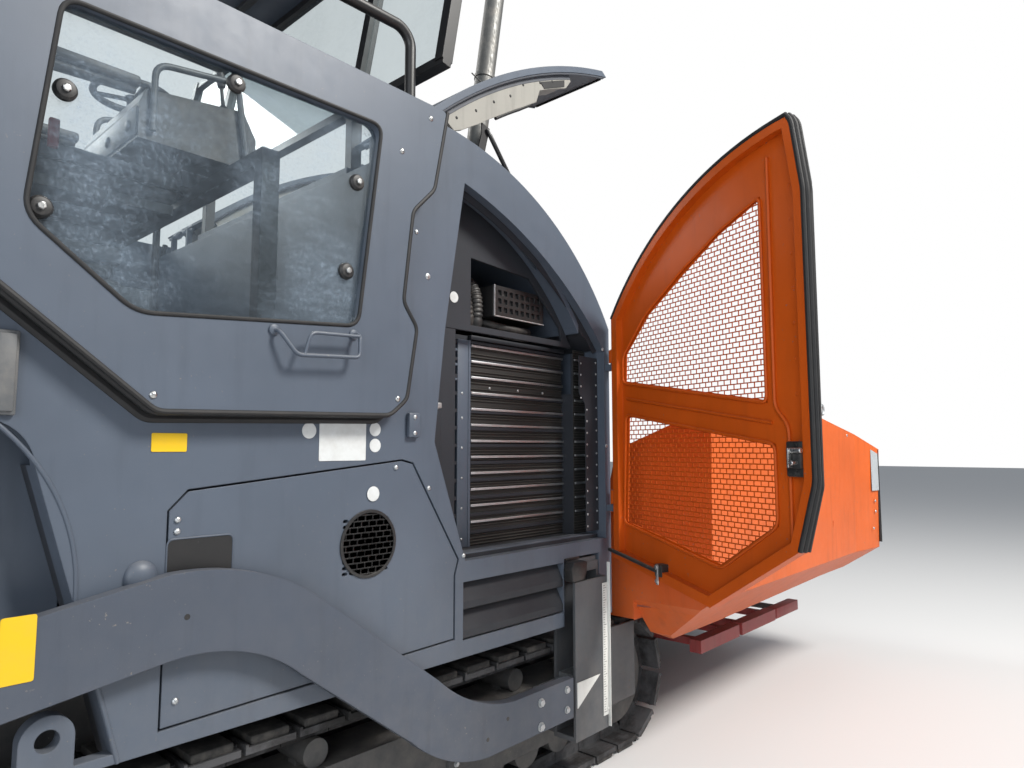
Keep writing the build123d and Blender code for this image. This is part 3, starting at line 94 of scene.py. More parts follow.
class Shader:
    """A Principled material with helpers for procedural detail, in metres of the frame."""

    def __init__(self, name, colour, rough, metal=0.0, **sockets):
        self.material = bpy.data.materials.new(name)
        self.material.use_nodes = True
        self.tree = self.material.node_tree
        self.base = self.tree.nodes["Principled BSDF"]
        self.coords = self.tree.nodes.new("ShaderNodeTexCoord").outputs["Object"]
        self.put("Base Color", (*colour, 1.0))
        self.put("Roughness", rough)
        self.put("Metallic", metal)
        for key, value in sockets.items():
            self.put(key.replace("_", " "), value)

    def put(self, socket, value):
        self.feed(self.base.inputs[socket], value)

    def feed(self, target, value):
        if isinstance(value, bpy.types.NodeSocket):
            self.tree.links.new(value, target)
        else:
            target.default_value = value

    def node(self, kind, inputs=(), **settings):
        made = self.tree.nodes.new(kind)
        for key, value in settings.items():
            setattr(made, key, value)
        for key, value in dict(inputs).items():
            self.feed(made.inputs[key], value)
        return made

    def noise(self, size, detail=3.0, rough=0.55, stretch=(1, 1, 1)):
        """Noise with features of about that size in metres."""
        place = self.node("ShaderNodeMapping", {"Vector": self.coords, "Scale": stretch}).outputs[0]
        inputs = {"Vector": place, "Scale": 1.0 / size, "Detail": detail, "Roughness": rough}
        return self.node("ShaderNodeTexNoise", inputs).outputs["Fac"]

    def band(self, value, low, high, to_low=0.0, to_high=1.0):
        """A value mapped from low..high to to_low..to_high, and held there."""
        inputs = {"Value": value, "From Min": low, "From Max": high, "To Min": to_low, "To Max": to_high}
        return self.node("ShaderNodeMapRange", inputs).outputs[0]

    def maths(self, operation, a, b=0.0):
        return self.node("ShaderNodeMath", {0: a, 1: b}, operation=operation).outputs[0]

    def times(self, a, b):
        return self.maths("MULTIPLY", a, b)

    def blend(self, factor, a, b):
        """Colour a, or b where factor is 1."""
        a, b = ((*c, 1.0) if isinstance(c, tuple) and len(c) == 3 else c for c in (a, b))
        return self.node("ShaderNodeMix", {0: factor, 6: a, 7: b}, data_type="RGBA").outputs[2]

    def part_of(self, what, axis):
        """One component of the place or of the surface normal."""
        source = self.coords if what == "place" else self.node("ShaderNodeNewGeometry").outputs["Normal"]
        return self.node("ShaderNodeSeparateXYZ", {0: source}).outputs["XYZ".index(axis)]

    def bump(self, height, strength, distance, edge):
        """Fine relief, with edges rounded off by that radius."""
        bevel = self.node("ShaderNodeBevel", {"Radius": edge}, samples=3).outputs[0]
        inputs = {"Height": height, "Strength": strength, "Distance": distance, "Normal": bevel}
        self.put("Normal", self.node("ShaderNodeBump", inputs).outputs[0])


def tint(colour, factor, lift=0.0):
    return tuple(min(1.0, c * factor + lift) for c in colour)


def paint(
    name, colour, rough, dust=0.35, grime=0.25, chips=0.0,
    chip_colour=(0.16, 0.15, 0.14), shaded_inside=None, shine=0.5, worn_in=False,
):
    """Machine paint: faint clouds, runs, dust on top and low down, chips; the shade pair is (depth, colour):
    faces nearer the middle than that depth take that colour as painted shade.
    """
    m = Shader(name, colour, rough, Specular_IOR_Level=shine)
    tone = m.blend(m.noise(0.45, 4.0), tint(colour, 0.72), tint(colour, 1.14, 0.004))
    # Painted shade: faces deeper in than the depth take the dark colour of the shade inside recesses
    if shaded_inside:
        across = m.maths("ABSOLUTE", m.part_of("place", "Y"))
        tone = m.blend(m.band(across, shaded_inside[0] - 0.001, shaded_inside[0]), shaded_inside[1], tone)
    runs = m.band(m.noise(0.16, 5.0, 0.6, (3.0, 3.0, 0.35)), 0.52, 0.72, 0.0, grime)
    tone = m.blend(runs, tone, tint(colour, 0.45, 0.006))
    lies = m.band(m.part_of("normal", "Z"), 0.2, 0.95)
    low = m.band(m.part_of("place", "Z"), 1.3, 0.1, 0.0, 0.8)
    film = m.times(m.maths("MAXIMUM", lies, low), m.band(m.noise(0.09, 6.0, 0.7), 0.3, 0.75, 0.15))
    film = m.times(film, dust)
    tone = m.blend(film, tone, DUST)
    if worn_in:
        facing = m.times(m.part_of("place", "Y"), m.part_of("normal", "Y"))
        patches = m.band(m.noise(0.25, 6.0, 0.68), 0.32, 0.72, 0.1)
        tone = m.blend(m.times(m.band(facing, -0.15, -0.6), patches), tone, RESIDUE)
    if chips:
        spots = m.band(m.noise(0.012, 3.0, 0.6), 0.7 - chips * 0.05, 0.74 - chips * 0.05)
        tone = m.blend(m.times(spots, m.band(m.noise(0.3, 2.0), 0.5, 0.62)), tone, chip_colour)
    m.put("Base Color", tone)
    uneven = m.maths("ADD", film, m.times(m.noise(0.05, 4.0), 0.3))
    m.put("Roughness", m.band(uneven, 0.0, 1.0, rough - 0.05, 0.9))
    m.bump(m.noise(0.0035, 2.0), 0.05, 0.002, 0.004)
    return m.material


def stained(name, colour, rough, stain, amount, metal=0.0):
    """Worn steel or paint with black asphalt residue in patches."""
    m = Shader(name, colour, rough, metal)
    clouds = m.band(m.noise(0.22, 6.0, 0.68), 0.62 - amount * 0.4, 0.72 - amount * 0.3)
    streaks = m.band(m.noise(0.05, 4.0, 0.6, (0.25, 3.0, 3.0)), 0.35, 0.8, 0.8, 1.15)
    tone = m.blend(m.noise(0.03, 4.0), tint(colour, 0.75), tint(colour, 1.15))
    m.put("Base Color", m.blend(clouds, tone, stain))
    m.put("Metallic", m.band(clouds, 0.0, 1.0, metal, 0.0) if metal else 0.0)
    m.put("Roughness", m.times(m.band(clouds, 0.0, 1.0, rough, 0.82), streaks))
    m.bump(m.maths("ADD", m.noise(0.006, 4.0, 0.7), m.times(clouds, 1.5)), 0.35, 0.0025, 0.004)
    return m.material


def rubber(name, colour, rough=0.62, dust=0.3):
    m = Shader(name, colour, rough)
    film = m.band(m.noise(0.05, 5.0, 0.65), 0.45, 0.8, 0.0, dust)
    m.put("Base Color", m.blend(film, colour, tint(DUST, 0.6)))
    m.bump(m.noise(0.002, 2.0), 0.25, 0.001, 0.003)
    return m.material


def metal_finish(name, colour, rough, spangle=0.0, dust=0.15):
    """Bare or zinc-plated steel, with spangle, small scratches and some dust."""
    m = Shader(name, colour, rough, 1.0)
    tone = m.blend(m.noise(0.02, 5.0, 0.7), tint(colour, 0.7), tint(colour, 1.1))
    if spangle:
        cells = m.node("ShaderNodeTexVoronoi", {"Vector": m.coords, "Scale": 1 / 0.012}).outputs["Color"]
        grey = m.node("ShaderNodeSeparateXYZ", {0: cells}).outputs[0]
        tone = m.blend(m.times(grey, spangle), tone, (0.8, 0.82, 0.84))
    film = m.band(m.noise(0.08, 5.0, 0.7), 0.5, 0.8, 0.0, dust)
    m.put("Base Color", m.blend(film, tone, DUST))
    m.put("Metallic", m.band(film, 0.0, 1.0, 1.0, 0.2))
    scratches = m.noise(0.006, 3.0, 0.6, (1, 1, 0.2))
    m.put("Roughness", m.band(scratches, 0.3, 0.7, rough - 0.075, rough + 0.25))
    m.bump(m.noise(0.003, 3.0, 0.6, (1, 1, 0.15)), 0.06, 0.001, 0.003)
    return m.material


def dusty_glass(name, dust_and_reflection_amount):
    """Clear pane with a film of dust tinted blue as painted sky reflection, wiped patches and dried drops."""
    m = Shader(name, (0.86, 0.9, 0.9), 0.02, 0.0, Transmission_Weight=1.0, IOR=1.45)
    thin = m.node("ShaderNodeBsdfTransparent", {"Color": (0.8, 0.84, 0.85, 1.0)})
    gloss = m.node("ShaderNodeBsdfGlossy", {"Color": (1, 1, 1, 1), "Roughness": 0.04})
    fresnel = m.node("ShaderNodeFresnel", {"IOR": 1.5})
    behind = m.node("ShaderNodeNewGeometry").outputs["Backfacing"]
    front = m.times(fresnel.outputs[0], m.maths("SUBTRACT", 1.0, behind))
    clear = m.node("ShaderNodeMixShader", {0: front, 1: thin.outputs[0], 2: gloss.outputs[0]})
    # The film's blue tint is painted sky reflection; its patches and drops are dust
    film = m.node("ShaderNodeBsdfDiffuse", {"Color": (0.36, 0.44, 0.54, 1.0)})
    wiped = m.band(m.noise(0.35, 3.0, 0.5, (1, 1, 0.6)), 0.42, 0.62, 0.25)
    drops = m.band(m.noise(0.012, 3.0, 0.7), 0.5, 0.72, 0.4)
    smear = m.band(m.noise(0.06, 5.0, 0.7, (0.5, 1, 2.0)), 0.3, 0.7, 0.5, 1.1)
    amount = m.times(m.times(wiped, m.times(drops, smear)), dust_and_reflection_amount)
    final = m.node("ShaderNodeMixShader", {0: amount, 1: clear.outputs[0], 2: film.outputs[0]})
    m.tree.links.new(final.outputs[0], m.tree.nodes["Material Output"].inputs[0])
    return m.material


def plastic(name, colour, rough=0.5, dust=0.3, grain=0.0012):
    m = Shader(name, colour, rough)
    film = m.band(m.noise(0.07, 5.0, 0.7), 0.45, 0.8, 0.0, dust)
    m.put("Base Color", m.blend(film, colour, DUST))
    m.bump(m.noise(grain, 2.0), 0.2, 0.0006, 0.002)
    return m.material


M = {
    "body": paint("body_grey_paint", GREY, 0.42, 0.28, 0.22, 0.5),
    # The body side's inner walls, nearer the middle than 1.15 m, carry painted shade
    "side": paint("side_grey_paint", GREY, 0.42, 0.28, 0.22, 0.5, shaded_inside=(1.15, DARK_AND_SHADE)),
    # Dark paint on the louvres, cooler and riveted frames: partly their own dark grey, partly painted shade
    # of the recess they sit in
    "recess": paint("recess_dark_paint_and_shade", DARK_AND_SHADE, 0.5, 0.12, 0.2, shine=0.3),
    "arm": paint("arm_dark_paint", (0.058, 0.072, 0.1), 0.5, 0.24, 0.3, 0.6),
    "post": paint("post_grey_paint", (0.056, 0.062, 0.072), 0.5, 0.35, 0.35, 0.8, (0.11, 0.055, 0.03)),
    "dark": paint("frame_dark_paint", (0.035, 0.038, 0.043), 0.55, 0.5, 0.3, 0.6),
    # Door orange, darker than the wing's: partly painted shade of the door's inner face
    "orange": paint("door_orange_paint", (0.62, 0.094, 0.004), 0.38, 0.07, 0.16, 0.4, shine=0.22),
    "wing": paint(
        "wing_orange_paint", (0.66, 0.12, 0.018), 0.42, 0.3, 0.3, 0.6, shine=0.22, worn_in=True,
    ),
    "red": paint("bar_red_paint", (0.3, 0.018, 0.022), 0.4, 0.45, 0.35, 1.2),
    "black": paint("black_paint", (0.012, 0.012, 0.013), 0.38, 0.3, 0.0, 0.3, (0.2, 0.2, 0.2)),
    "cream": paint("liner_paint", (0.3, 0.29, 0.26), 0.5, 0.3, 0.35),
    "track": stained("track_cast_steel", (0.062, 0.062, 0.066), 0.75, (0.012, 0.011, 0.011), 0.45),
    "hopper": stained("hopper_stained_paint", (0.62, 0.1, 0.006), 0.45, (0.012, 0.011, 0.011), 0.35),
    "screed": stained("screed_stained_paint", (0.06, 0.064, 0.07), 0.55, (0.01, 0.01, 0.01), 0.5),
    "worn": stained("worn_steel", (0.3, 0.28, 0.26), 0.42, RESIDUE, 0.42, 0.9),
    "zinc": metal_finish("zinc_plated_steel", (0.52, 0.54, 0.55), 0.36, 0.35),
    "steel": metal_finish("bright_steel", (0.6, 0.6, 0.59), 0.24, dust=0.05),
    "stack": metal_finish("stack_steel", (0.2, 0.2, 0.195), 0.52, dust=0.55),
    "rubber": rubber("black_rubber", (0.01, 0.01, 0.011), dust=0.06),
    "pad": rubber("track_pad_rubber", (0.03, 0.029, 0.028), 0.8, 0.55),
    "plastic": plastic("black_plastic", (0.018, 0.018, 0.019)),
    "grey_plastic": plastic("grey_plastic", (0.1, 0.105, 0.11), 0.45),
    "glass": dusty_glass("dusty_window_glass", 0.42),
    "screen": dusty_glass("windscreen_glass_clear", 0.1),
    # Nearly black core: painted shade of the deep gaps between the fins, with some dust
    "core": paint("cooler_core_shade_and_dust", (0.018, 0.017, 0.016), 0.7, 0.2, 0.2),
    "fin": paint("cooler_fin_dust", (0.048, 0.045, 0.04), 0.5, 0.25, 0.2),
    "stop": plastic("stop_black_plastic", (0.014, 0.014, 0.015), 0.45, 0.12),
    "bar_edge": metal_finish("bar_edge_aluminium", (0.62, 0.63, 0.65), 0.38, dust=0.1),
    "underside": paint("lid_underside_paint", (0.085, 0.092, 0.11), 0.5, 0.1, 0.3),
}

# CAD nodes by material, plain names or sided ones, and the record's slot that each material fills
DRESS = {
    "dark": "main_frame engine_block platform_floor push_beam track_frame lift_barrels cross_beams",
    "worn": "conveyor_deck conveyor_slats push_roller auger",
    "red": "side_bars",
    "body": "engine_hood rear_body canopy_roof service_panels hood_lid side_shield",
    "stack": "exhaust_stack",
    "screed": "auger_carrier screed_body screed_extension",
    "black": "canopy_frame handrails seat_frames console_rail lamps air_boxes",
    "screen": "windscreen_glass",
    "plastic": "seat_cushions console",
    "hopper": "hopper_apron",
    "track": "track",
    "side": "body_side",
    "recess": "louvres cooler",
    "post": "tow_posts",
    "orange": "service_door door_mesh",
    "glass": "shield_glass",
    "wing": "hopper_wing",
    "zinc": "tow_sliders",
    "arm": "tow_arms arm_pivots",
    "steel": "lift_rods",
}
for look, prefixes in DRESS.items():
    for prefix in prefixes.split():
        for name in (prefix, prefix + "_right", prefix + "_left"):
            if name in nodes:
                nodes[name].data.materials.clear()
                nodes[name].data.materials.append(M[look])

SLOTS = {
    "body_paint": "body cream underside red screed",
    "door_paint": "orange",
    "rubber": "rubber pad stop",
    "bare_steel": "zinc steel bar_edge worn stack",
    "black_steel": "plastic grey_plastic black core fin recess track dark",
}
SLOT_OF = {look: slot for slot, looks in SLOTS.items() for look in looks.split()}


# Points, outlines and tubes, given for the left side
def flip(side, point):
    return Vector((point[0], side * point[1], point[2]))


def at_y(y, points):
    return [Vector((x, y, z)) for x, z in points]


def rect(a, b):
    return [(a[0], b[0]), (a[1], b[0]), (a[1], b[1]), (a[0], b[1])]


def turns(count):
    return [2 * math.pi * k / count for k in range(count)]


def circle(centre, count, across, up):
    """Points of a circle or ellipse with those two half axes."""
    return [Vector(centre) + across * math.cos(t) + up * math.sin(t) for t in turns(count)]


def rounded(points, radius, steps=4, closed=True):
    """A polyline or outline of 2-D or 3-D points with its corners rounded."""
    points = [Vector(p) for p in points]
    out = []
    count = len(points)
    for i, p in enumerate(points):
        if not closed and i in (0, count - 1):
            out.append(p)
            continue
        before, after = points[i - 1], points[(i + 1) % count]
        start = p + (before - p).normalized() * min(radius, (p - before).length * 0.48)
        end = p + (after - p).normalized() * min(radius, (after - p).length * 0.48)
        for k in range(steps + 1):
            t = k / steps
            out.append(start * (1 - t) ** 2 + p * 2 * t * (1 - t) + end * t * t)
    return out


def arc_through(a, b, c, count):
    """2-D points of the arc through three points."""
    (x1, y1), (x2, y2), (x3, y3) = a, b, c
    p, q, r, s = x2 - x1, y2 - y1, x3 - x1, y3 - y1
    e = (p * (x1 + x2) + q * (y1 + y2)) / 2
    f = (r * (x1 + x3) + s * (y1 + y3)) / 2
    g = p * s - q * r
    cx, cy = (s * e - q * f) / g, (p * f - r * e) / g
    radius = math.hypot(x1 - cx, y1 - cy)
    start = math.atan2(y1 - cy, x1 - cx)
    turn = (math.atan2(y3 - cy, x3 - cx) - start + math.pi) % (2 * math.pi) - math.pi
    angles = [start + turn * i / count for i in range(count + 1)]
    return [(cx + radius * math.cos(t), cy + radius * math.sin(t)) for t in angles]


def place_of(origin, x_dir, y_dir, z_dir):
    """A matrix from local coordinates to the frame."""
    m = Matrix((x_dir, y_dir, z_dir)).transposed().to_4x4()
    m.translation = Vector(origin)
    return m


MITRE_LIMIT = 1.3


def tube(path, radius, sides, closed):
    """Rings of points round a path; radius is a number or one for each point."""
    count = len(path)
    radii = radius if isinstance(radius, list) else [radius] * count
    normal = None
    rings = []
    for i, p in enumerate(path):
        back = path[i - 1] if closed or i else p
        ahead = path[(i + 1) % count] if closed or i < count - 1 else p
        tangent = (ahead - back).normalized()
        normal = normal or tangent.orthogonal().normalized()
        normal = (normal - tangent * normal.dot(tangent)).normalized()
        reach = radii[i]
        if 0 < i < count - 1 or closed:
            bend = (p - back).normalized().dot((ahead - p).normalized())
            mitre = 1.0 / max(0.5, math.sqrt(max(0.0, (1 + bend) / 2)))
            reach *= mitre if mitre < MITRE_LIMIT else 1.0
        rings.append(circle(p, sides, normal * reach, tangent.cross(normal) * reach))
    return rings


# Pieces: solids collected into one object on one body; SHARP is the angle of an edge that is bevelled
PIECES = []
SIDED = ("service_door", "side_shield", "hood_lid", "hopper_wing", "auger", "screed_extension")
KIND_OF = {"console": "one", **{body: "each" for body in SIDED}}
SHARP, SUNK = 0.6, 0.002


class Piece:
    """Solids of one look, in metres, given for the left side and repeated on the right.

    A pair is one object with both sides, each is two objects, one and loose are a single object as given.
    """

    def __init__(
        self, name, look, body="machine", slot=None, kind=None, smooth=35.0, replaces=None, link=None,
    ):
        kind = kind or KIND_OF.get(body, "pair")
        self.name, self.body, self.kind = name, body, kind
        self.smooth, self.replaces, self.link = smooth, replaces, link
        self.material = M.get(look, look)
        self.slot = slot or SLOT_OF.get(look)
        whole = bmesh.new()
        sides = (RIGHT, LEFT) if kind in ("pair", "each") else (LEFT,)
        self.halves = [(side, bmesh.new() if kind == "each" else whole) for side in sides]
        if kind != "loose":
            PIECES.append(self)

    def close(self, bm, verts, bevel=0.0, segments=2):
        """Turns a new solid's faces outward and bevels its sharp edges."""
        bmesh.ops.recalc_face_normals(bm, faces=list({f for v in verts for f in v.link_faces}))
        if bevel:
            edges = {e for v in verts for e in v.link_edges}
            edges = [e for e in edges if e.is_manifold and e.calc_face_angle(0) > SHARP]
            bmesh.ops.bevel(bm, geom=edges, offset=bevel, segments=segments, profile=0.5, affect="EDGES")

    def skin(self, bm, rings, closed=False, bevel=0.0):
        """One solid over rings of points; a ring of one point is a tip."""
        made = [[bm.verts.new(p) for p in ring] for ring in rings]
        for a, b in zip(made, made[1:] + made[:1] if closed else made[1:]):
            count = max(len(a), len(b))
            for k in range(count):
                m = (k + 1) % count
                corners = a if len(a) == 1 else [a[k], a[m]]
                bm.faces.new(corners + (b if len(b) == 1 else [b[m], b[k]]))
        for ring in (made[0], made[-1]):
            if len(ring) > 1 and not closed:
                bm.faces.new(ring)
        self.close(bm, [v for ring in made for v in ring], bevel)

    def solid(self, rings, closed=False, bevel=0.0):
        for side, bm in self.halves:
            self.skin(bm, [[flip(side, p) for p in ring] for ring in rings], closed, bevel)

    def box(self, x, y, z, bevel=0.0, place=None):
        place = place or Matrix()
        self.solid([[place @ Vector((a, b, level)) for a, b in rect(x, y)] for level in z], False, bevel)

    def prism(self, outline, direction, bevel=0.0, bend=None):
        """A flat outline pushed along a vector; bend is (radius, steps) of its corners."""
        outline = rounded(outline, *bend) if bend else [Vector(p) for p in outline]
        self.solid([outline, [p + Vector(direction) for p in outline]], False, bevel)

    def frame_plate(self, outer, inner, direction):
        """A plate with one opening, from two outlines with the same number of points."""
        push = Vector(direction)
        self.solid([outer, [p + push for p in outer], [p + push for p in inner], inner], closed=True)

    def sweep(self, path, radius, sides=10, closed=False, bend=None):
        """A round bar along points; bend is (radius, steps) of its corners."""
        path = rounded(path, *bend, closed=closed) if bend else path
        for side, bm in self.halves:
            self.skin(bm, tube([flip(side, p) for p in path], radius, sides, closed), closed)

    def turned(self, profile, places, sides=24, axis=Y):
        """Solids of revolution at places: profile is (height along the axis, radius) from end to end."""
        for place in places:
            for side, bm in self.halves:
                way = flip(side, axis).normalized()
                u = way.orthogonal().normalized()
                rings = [
                    circle(flip(side, place) + way * height, sides, u * radius, way.cross(u) * radius)
                    for height, radius in profile
                ]
                self.skin(bm, [ring if row[1] > 0 else ring[:1] for ring, row in zip(rings, profile)])

    def rod(self, a, b, radius, sides=16, rim=0.0):
        run = Vector(b) - Vector(a)
        length = run.length
        profile = [(0, radius - rim), (rim, radius), (length - rim, radius), (length, radius - rim)]
        self.turned(profile if rim else [(0, radius), (length, radius)], [a], sides, run)

    def bolts(self, places, size, axis=Y):
        """Hex heads on washers; size is the head's half width."""
        self.turned([(0, size * 1.35), (size * 0.22, size * 1.35)], places, 14, axis)
        head = [(size * 0.22, size * 1.1), (size * 0.75, size * 1.1), (size * 0.9, size * 0.9)]
        self.turned(head, places, 6, axis)

    def domes(self, places, radius, rise, sides=16, axis=Y):
        quarter = [math.pi / 8 * i for i in range(4)]
        profile = [(rise * math.sin(t), radius * math.cos(t)) for t in quarter]
        self.turned([(-SUNK, radius), *profile, (rise, 0)], places, sides, axis)

    def as_object(self, name, bm):
        """A new object of one mesh, not yet on a body."""
        mesh = bpy.data.meshes.new(name)
        bm.to_mesh(mesh)
        bm.free()
        mesh.materials.append(self.material)
        mesh.set_sharp_from_angle(angle=math.radians(self.smooth))
        for polygon in mesh.polygons:
            polygon.use_smooth = True
        return placed(name, mesh)

    def done(self):
        for side, bm in self.halves if self.kind == "each" else self.halves[:1]:
            word = WORDS[side] if self.kind == "each" else ""
            body = self.body + word if self.body != "machine" else self.body
            made = self.as_object(self.name + word, bm)
            if self.link:
                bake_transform(made)
            else:
                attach(made, body)
            if self.replaces:
                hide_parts(self.replaces + word)


# Studio: pale floor, white world, soft lamps
floor_mesh = bpy.data.meshes.new("floor")
floor_mesh.from_pydata([(-60, -60, 0), (60, -60, 0), (60, 60, 0), (-60, 60, 0)], [], [(0, 1, 2, 3)])
floor = placed("floor", floor_mesh)
floor.location.z = -0.002
floor_mesh.materials.append(Shader("studio_floor", (0.62, 0.62, 0.62), 0.85).material)

world = bpy.data.worlds.new("studio")
scene.world = world
world.use_nodes = True
tree = world.node_tree
tree.nodes.clear()
rays = tree.nodes.new("ShaderNodeLightPath")
seen = tree.nodes.new("ShaderNodeMath")
seen.operation = "MAXIMUM"
tree.links.new(rays.outputs["Is Camera Ray"], seen.inputs[0])
tree.links.new(rays.outputs["Is Transmission Ray"], seen.inputs[1])
chosen = tree.nodes.new("ShaderNodeMixShader")
tree.links.new(seen.outputs[0], chosen.inputs[0])
for number, (colour, strength) in enumerate((((0.86, 0.92, 1.0, 1.0), 0.42), ((1.0, 1.0, 1.0, 1.0), 1.0))):
    background = tree.nodes.new("ShaderNodeBackground")
    background.inputs[0].default_value = colour
    background.inputs[1].default_value = strength
    tree.links.new(background.outputs[0], chosen.inputs[number + 1])
tree.links.new(chosen.outputs[0], tree.nodes.new("ShaderNodeOutputWorld").inputs[0])


def area_light(name, place, target, size, power, colour):
    data = bpy.data.lights.new(name, "AREA")
    data.shape = "DISK"
    data.size = size
    data.energy = power
    data.color = colour
    made = placed(name, data)
    made.location = place
    made.rotation_mode = "QUATERNION"
    made.rotation_quaternion = (Vector(target) - Vector(place)).to_track_quat("-Z", "Y")


area_light("key", (2.5, -8.0, 9.0), (0, -0.5, 1.2), 3.0, 1500, (1.0, 0.97, 0.92))
area_light("fill", (-9.0, -6.0, 4.0), (0, 0, 1.4), 7.0, 420, (0.9, 0.95, 1.0))
area_light("back", (-3.0, 9.0, 8.0), (0, 0, 1.5), 5.0, 700, (1.0, 0.98, 0.95))


# Service doors: perforated sheets, edge seal, ribs, latch, stay rod; (s, t, z) runs along the open door
OPEN = math.radians(69)
ALONG = Vector((-math.cos(OPEN), math.sin(OPEN), 0))
INWARD = Vector((-math.sin(OPEN), -math.cos(OPEN), 0))
DOOR = place_of((0.73, 1.254, 0), ALONG, INWARD, Z)
UPPER_WINDOW = [
    (0.072, 1.735), (0.92, 1.597), (0.915, 2.342), (0.712, 2.275), (0.49, 2.169), (0.24, 2.024),
    (0.077, 1.862),
]
LOWER_WINDOW = [(0.07, 1.104), (0.336, 1.055), (0.674, 0.992), (0.951, 1.174), (0.95, 1.454), (0.094, 1.591)]
DOOR_TIP, DOOR_CREST, DOOR_HIGH = (1.068, 2.574), (0.498, 2.434), (0.026, 2.04)
WEB, STEP = 0.0042, 0.0001


def on_door(t, points):
    return [DOOR @ Vector((s, t, z)) for s, z in points]


def crossings(outline, z):
    """Places along s where a horizontal line crosses an outline of (s, z)."""
    found = []
    for (s0, z0), (s1, z1) in zip(outline, outline[1:] + outline[:1]):
        if (z0 - z) * (z1 - z) < 0:
            found.append(s0 + (s1 - s0) * (z - z0) / (z1 - z0))
    return sorted(found)


def brick_sheet(piece, across, low, high, row_pitch, hole_pitch, lift, depth, place):
    """Bars of a sheet with rows of slots; across(z) gives where a row meets the outline."""
    near, far = depth
    for row in range(int((high - low) / row_pitch) + 1):
        z = low + row * row_pitch + lift
        edge, middle = across(z), across(z + row_pitch / 2)
        if len(edge) > 1:
            piece.box((edge[0], edge[-1]), (near, far), (z - WEB / 2, z + WEB / 2), place=place)
        if len(middle) > 1:
            first = math.ceil(middle[0] / hole_pitch - row % 2 / 2) + row % 2 / 2
            for hole in range(math.ceil(middle[-1] / hole_pitch - first)):
                s = (first + hole) * hole_pitch
                top = min(z + row_pitch, high)
                thin = (near + STEP, far - STEP)
                piece.box((s - WEB / 2, s + WEB / 2), thin, (z, top), place=place)


sheet = Piece("door_perforated_sheet", "orange", "service_door", replaces="door_mesh")
rib = Piece("door_inner_ribs", "orange", "service_door")
for outline in (UPPER_WINDOW, LOWER_WINDOW):
    heights = [z for _, z in outline]
    brick_sheet(
        sheet, lambda z: crossings(outline, z), min(heights), max(heights), 0.0195, 0.0335, 0.0007,
        (-0.0195, -0.0175), DOOR,
    )
    rim = on_door(-0.0205, outline)
    centre = sum(rim, Vector((0, 0, 0))) / len(rim)
    sheet.frame_plate(rim, [p + (centre - p).normalized() * 0.016 for p in rim], INWARD * 0.005)
    rib.sweep(on_door(-0.006, outline), 0.006, 6, closed=True, bend=(0.03, 4))
fold = on_door(-0.006, ((0.955, 2.47), (0.955, 1.58), (1.012, 1.515), (1.012, 1.12)))
rib.sweep(fold, 0.007, 6, bend=(0.03, 4))
rib.sweep(on_door(-0.006, ((0.1, 1.663), (0.94, 1.527))), 0.006, 6)
rib.box((0.034, 0.058), (-0.0105, 0.014), (1.02, 1.95), 0.004, DOOR)
for s, heights in ((1.075, (1.2, 1.28, 1.36)), (1.045, (1.62, 1.74, 1.86, 1.98, 2.1, 2.22, 2.34))):
    rib.domes(on_door(-0.0105, [(s, z) for z in heights]), 0.006, 0.002, 10, INWARD)

seal = Piece("door_edge_seal", "rubber", "service_door")
corners = [DOOR_TIP, (1.088, 2.545), (1.126, 2.3), (1.13, 1.33), (1.062, 1.104)]
edge = arc_through(DOOR_HIGH, DOOR_CREST, DOOR_TIP, 24) + rounded(corners, 0.02, closed=False)[1:]
for t, radius in ((0.019, 0.0085), (-0.019, 0.0085), (0.0, 0.0105)):
    seal.sweep(on_door(t, edge), radius, 8)
for side, bm in seal.halves:
    for vertex in bm.verts:
        vertex.co.y = max(-cad_box[1][1], min(cad_box[1][1], vertex.co.y))

latch = Piece("door_latch", "plastic", "service_door")
latch.box((1.018, 1.104), (-0.012, 0.02), (1.345, 1.462), 0.006, DOOR)
latch.box((1.034, 1.09), (0.02, 0.034), (1.372, 1.44), 0.005, DOOR)
latch.bolts(on_door(0.02, ((1.062, 1.357), (1.062, 1.452))), 0.006, INWARD)
claw = Piece("door_latch_claw", "steel", "service_door")
claw.rod(DOOR @ Vector((1.07, 0.03, 1.392)), DOOR @ Vector((1.07, 0.058, 1.392)), 0.008, 14, 0.002)
claw.rod(DOOR @ Vector((1.052, 0.038, 1.432)), DOOR @ Vector((1.098, 0.038, 1.432)), 0.009, 14, 0.002)
claw.box((1.048, 1.056), (0.034, 0.052), (1.375, 1.44), 0.002, DOOR)
stay = Piece("door_stay_rod", "black", "service_door")
line = [DOOR @ Vector(p) for p in ((0.03, 0.05, 0.985), (0.16, 0.058, 0.972), (0.344, 0.04, 0.938))]
stay.sweep(line, 0.0085, bend=(0.05, 5))
stay.box((0.322, 0.366), (-0.012, 0.028), (0.912, 0.962), 0.004, DOOR)
hold = Piece("door_stay_bracket", "zinc", "service_door")
hold.box((0.338, 0.35), (0.028, 0.034), (0.88, 0.962), 0.001, DOOR)
hold.bolts(on_door(0.034, ((0.344, 0.95),)), 0.009, INWARD)
hold.bolts(on_door(0.034, ((0.344, 0.895),)), 0.007, INWARD)

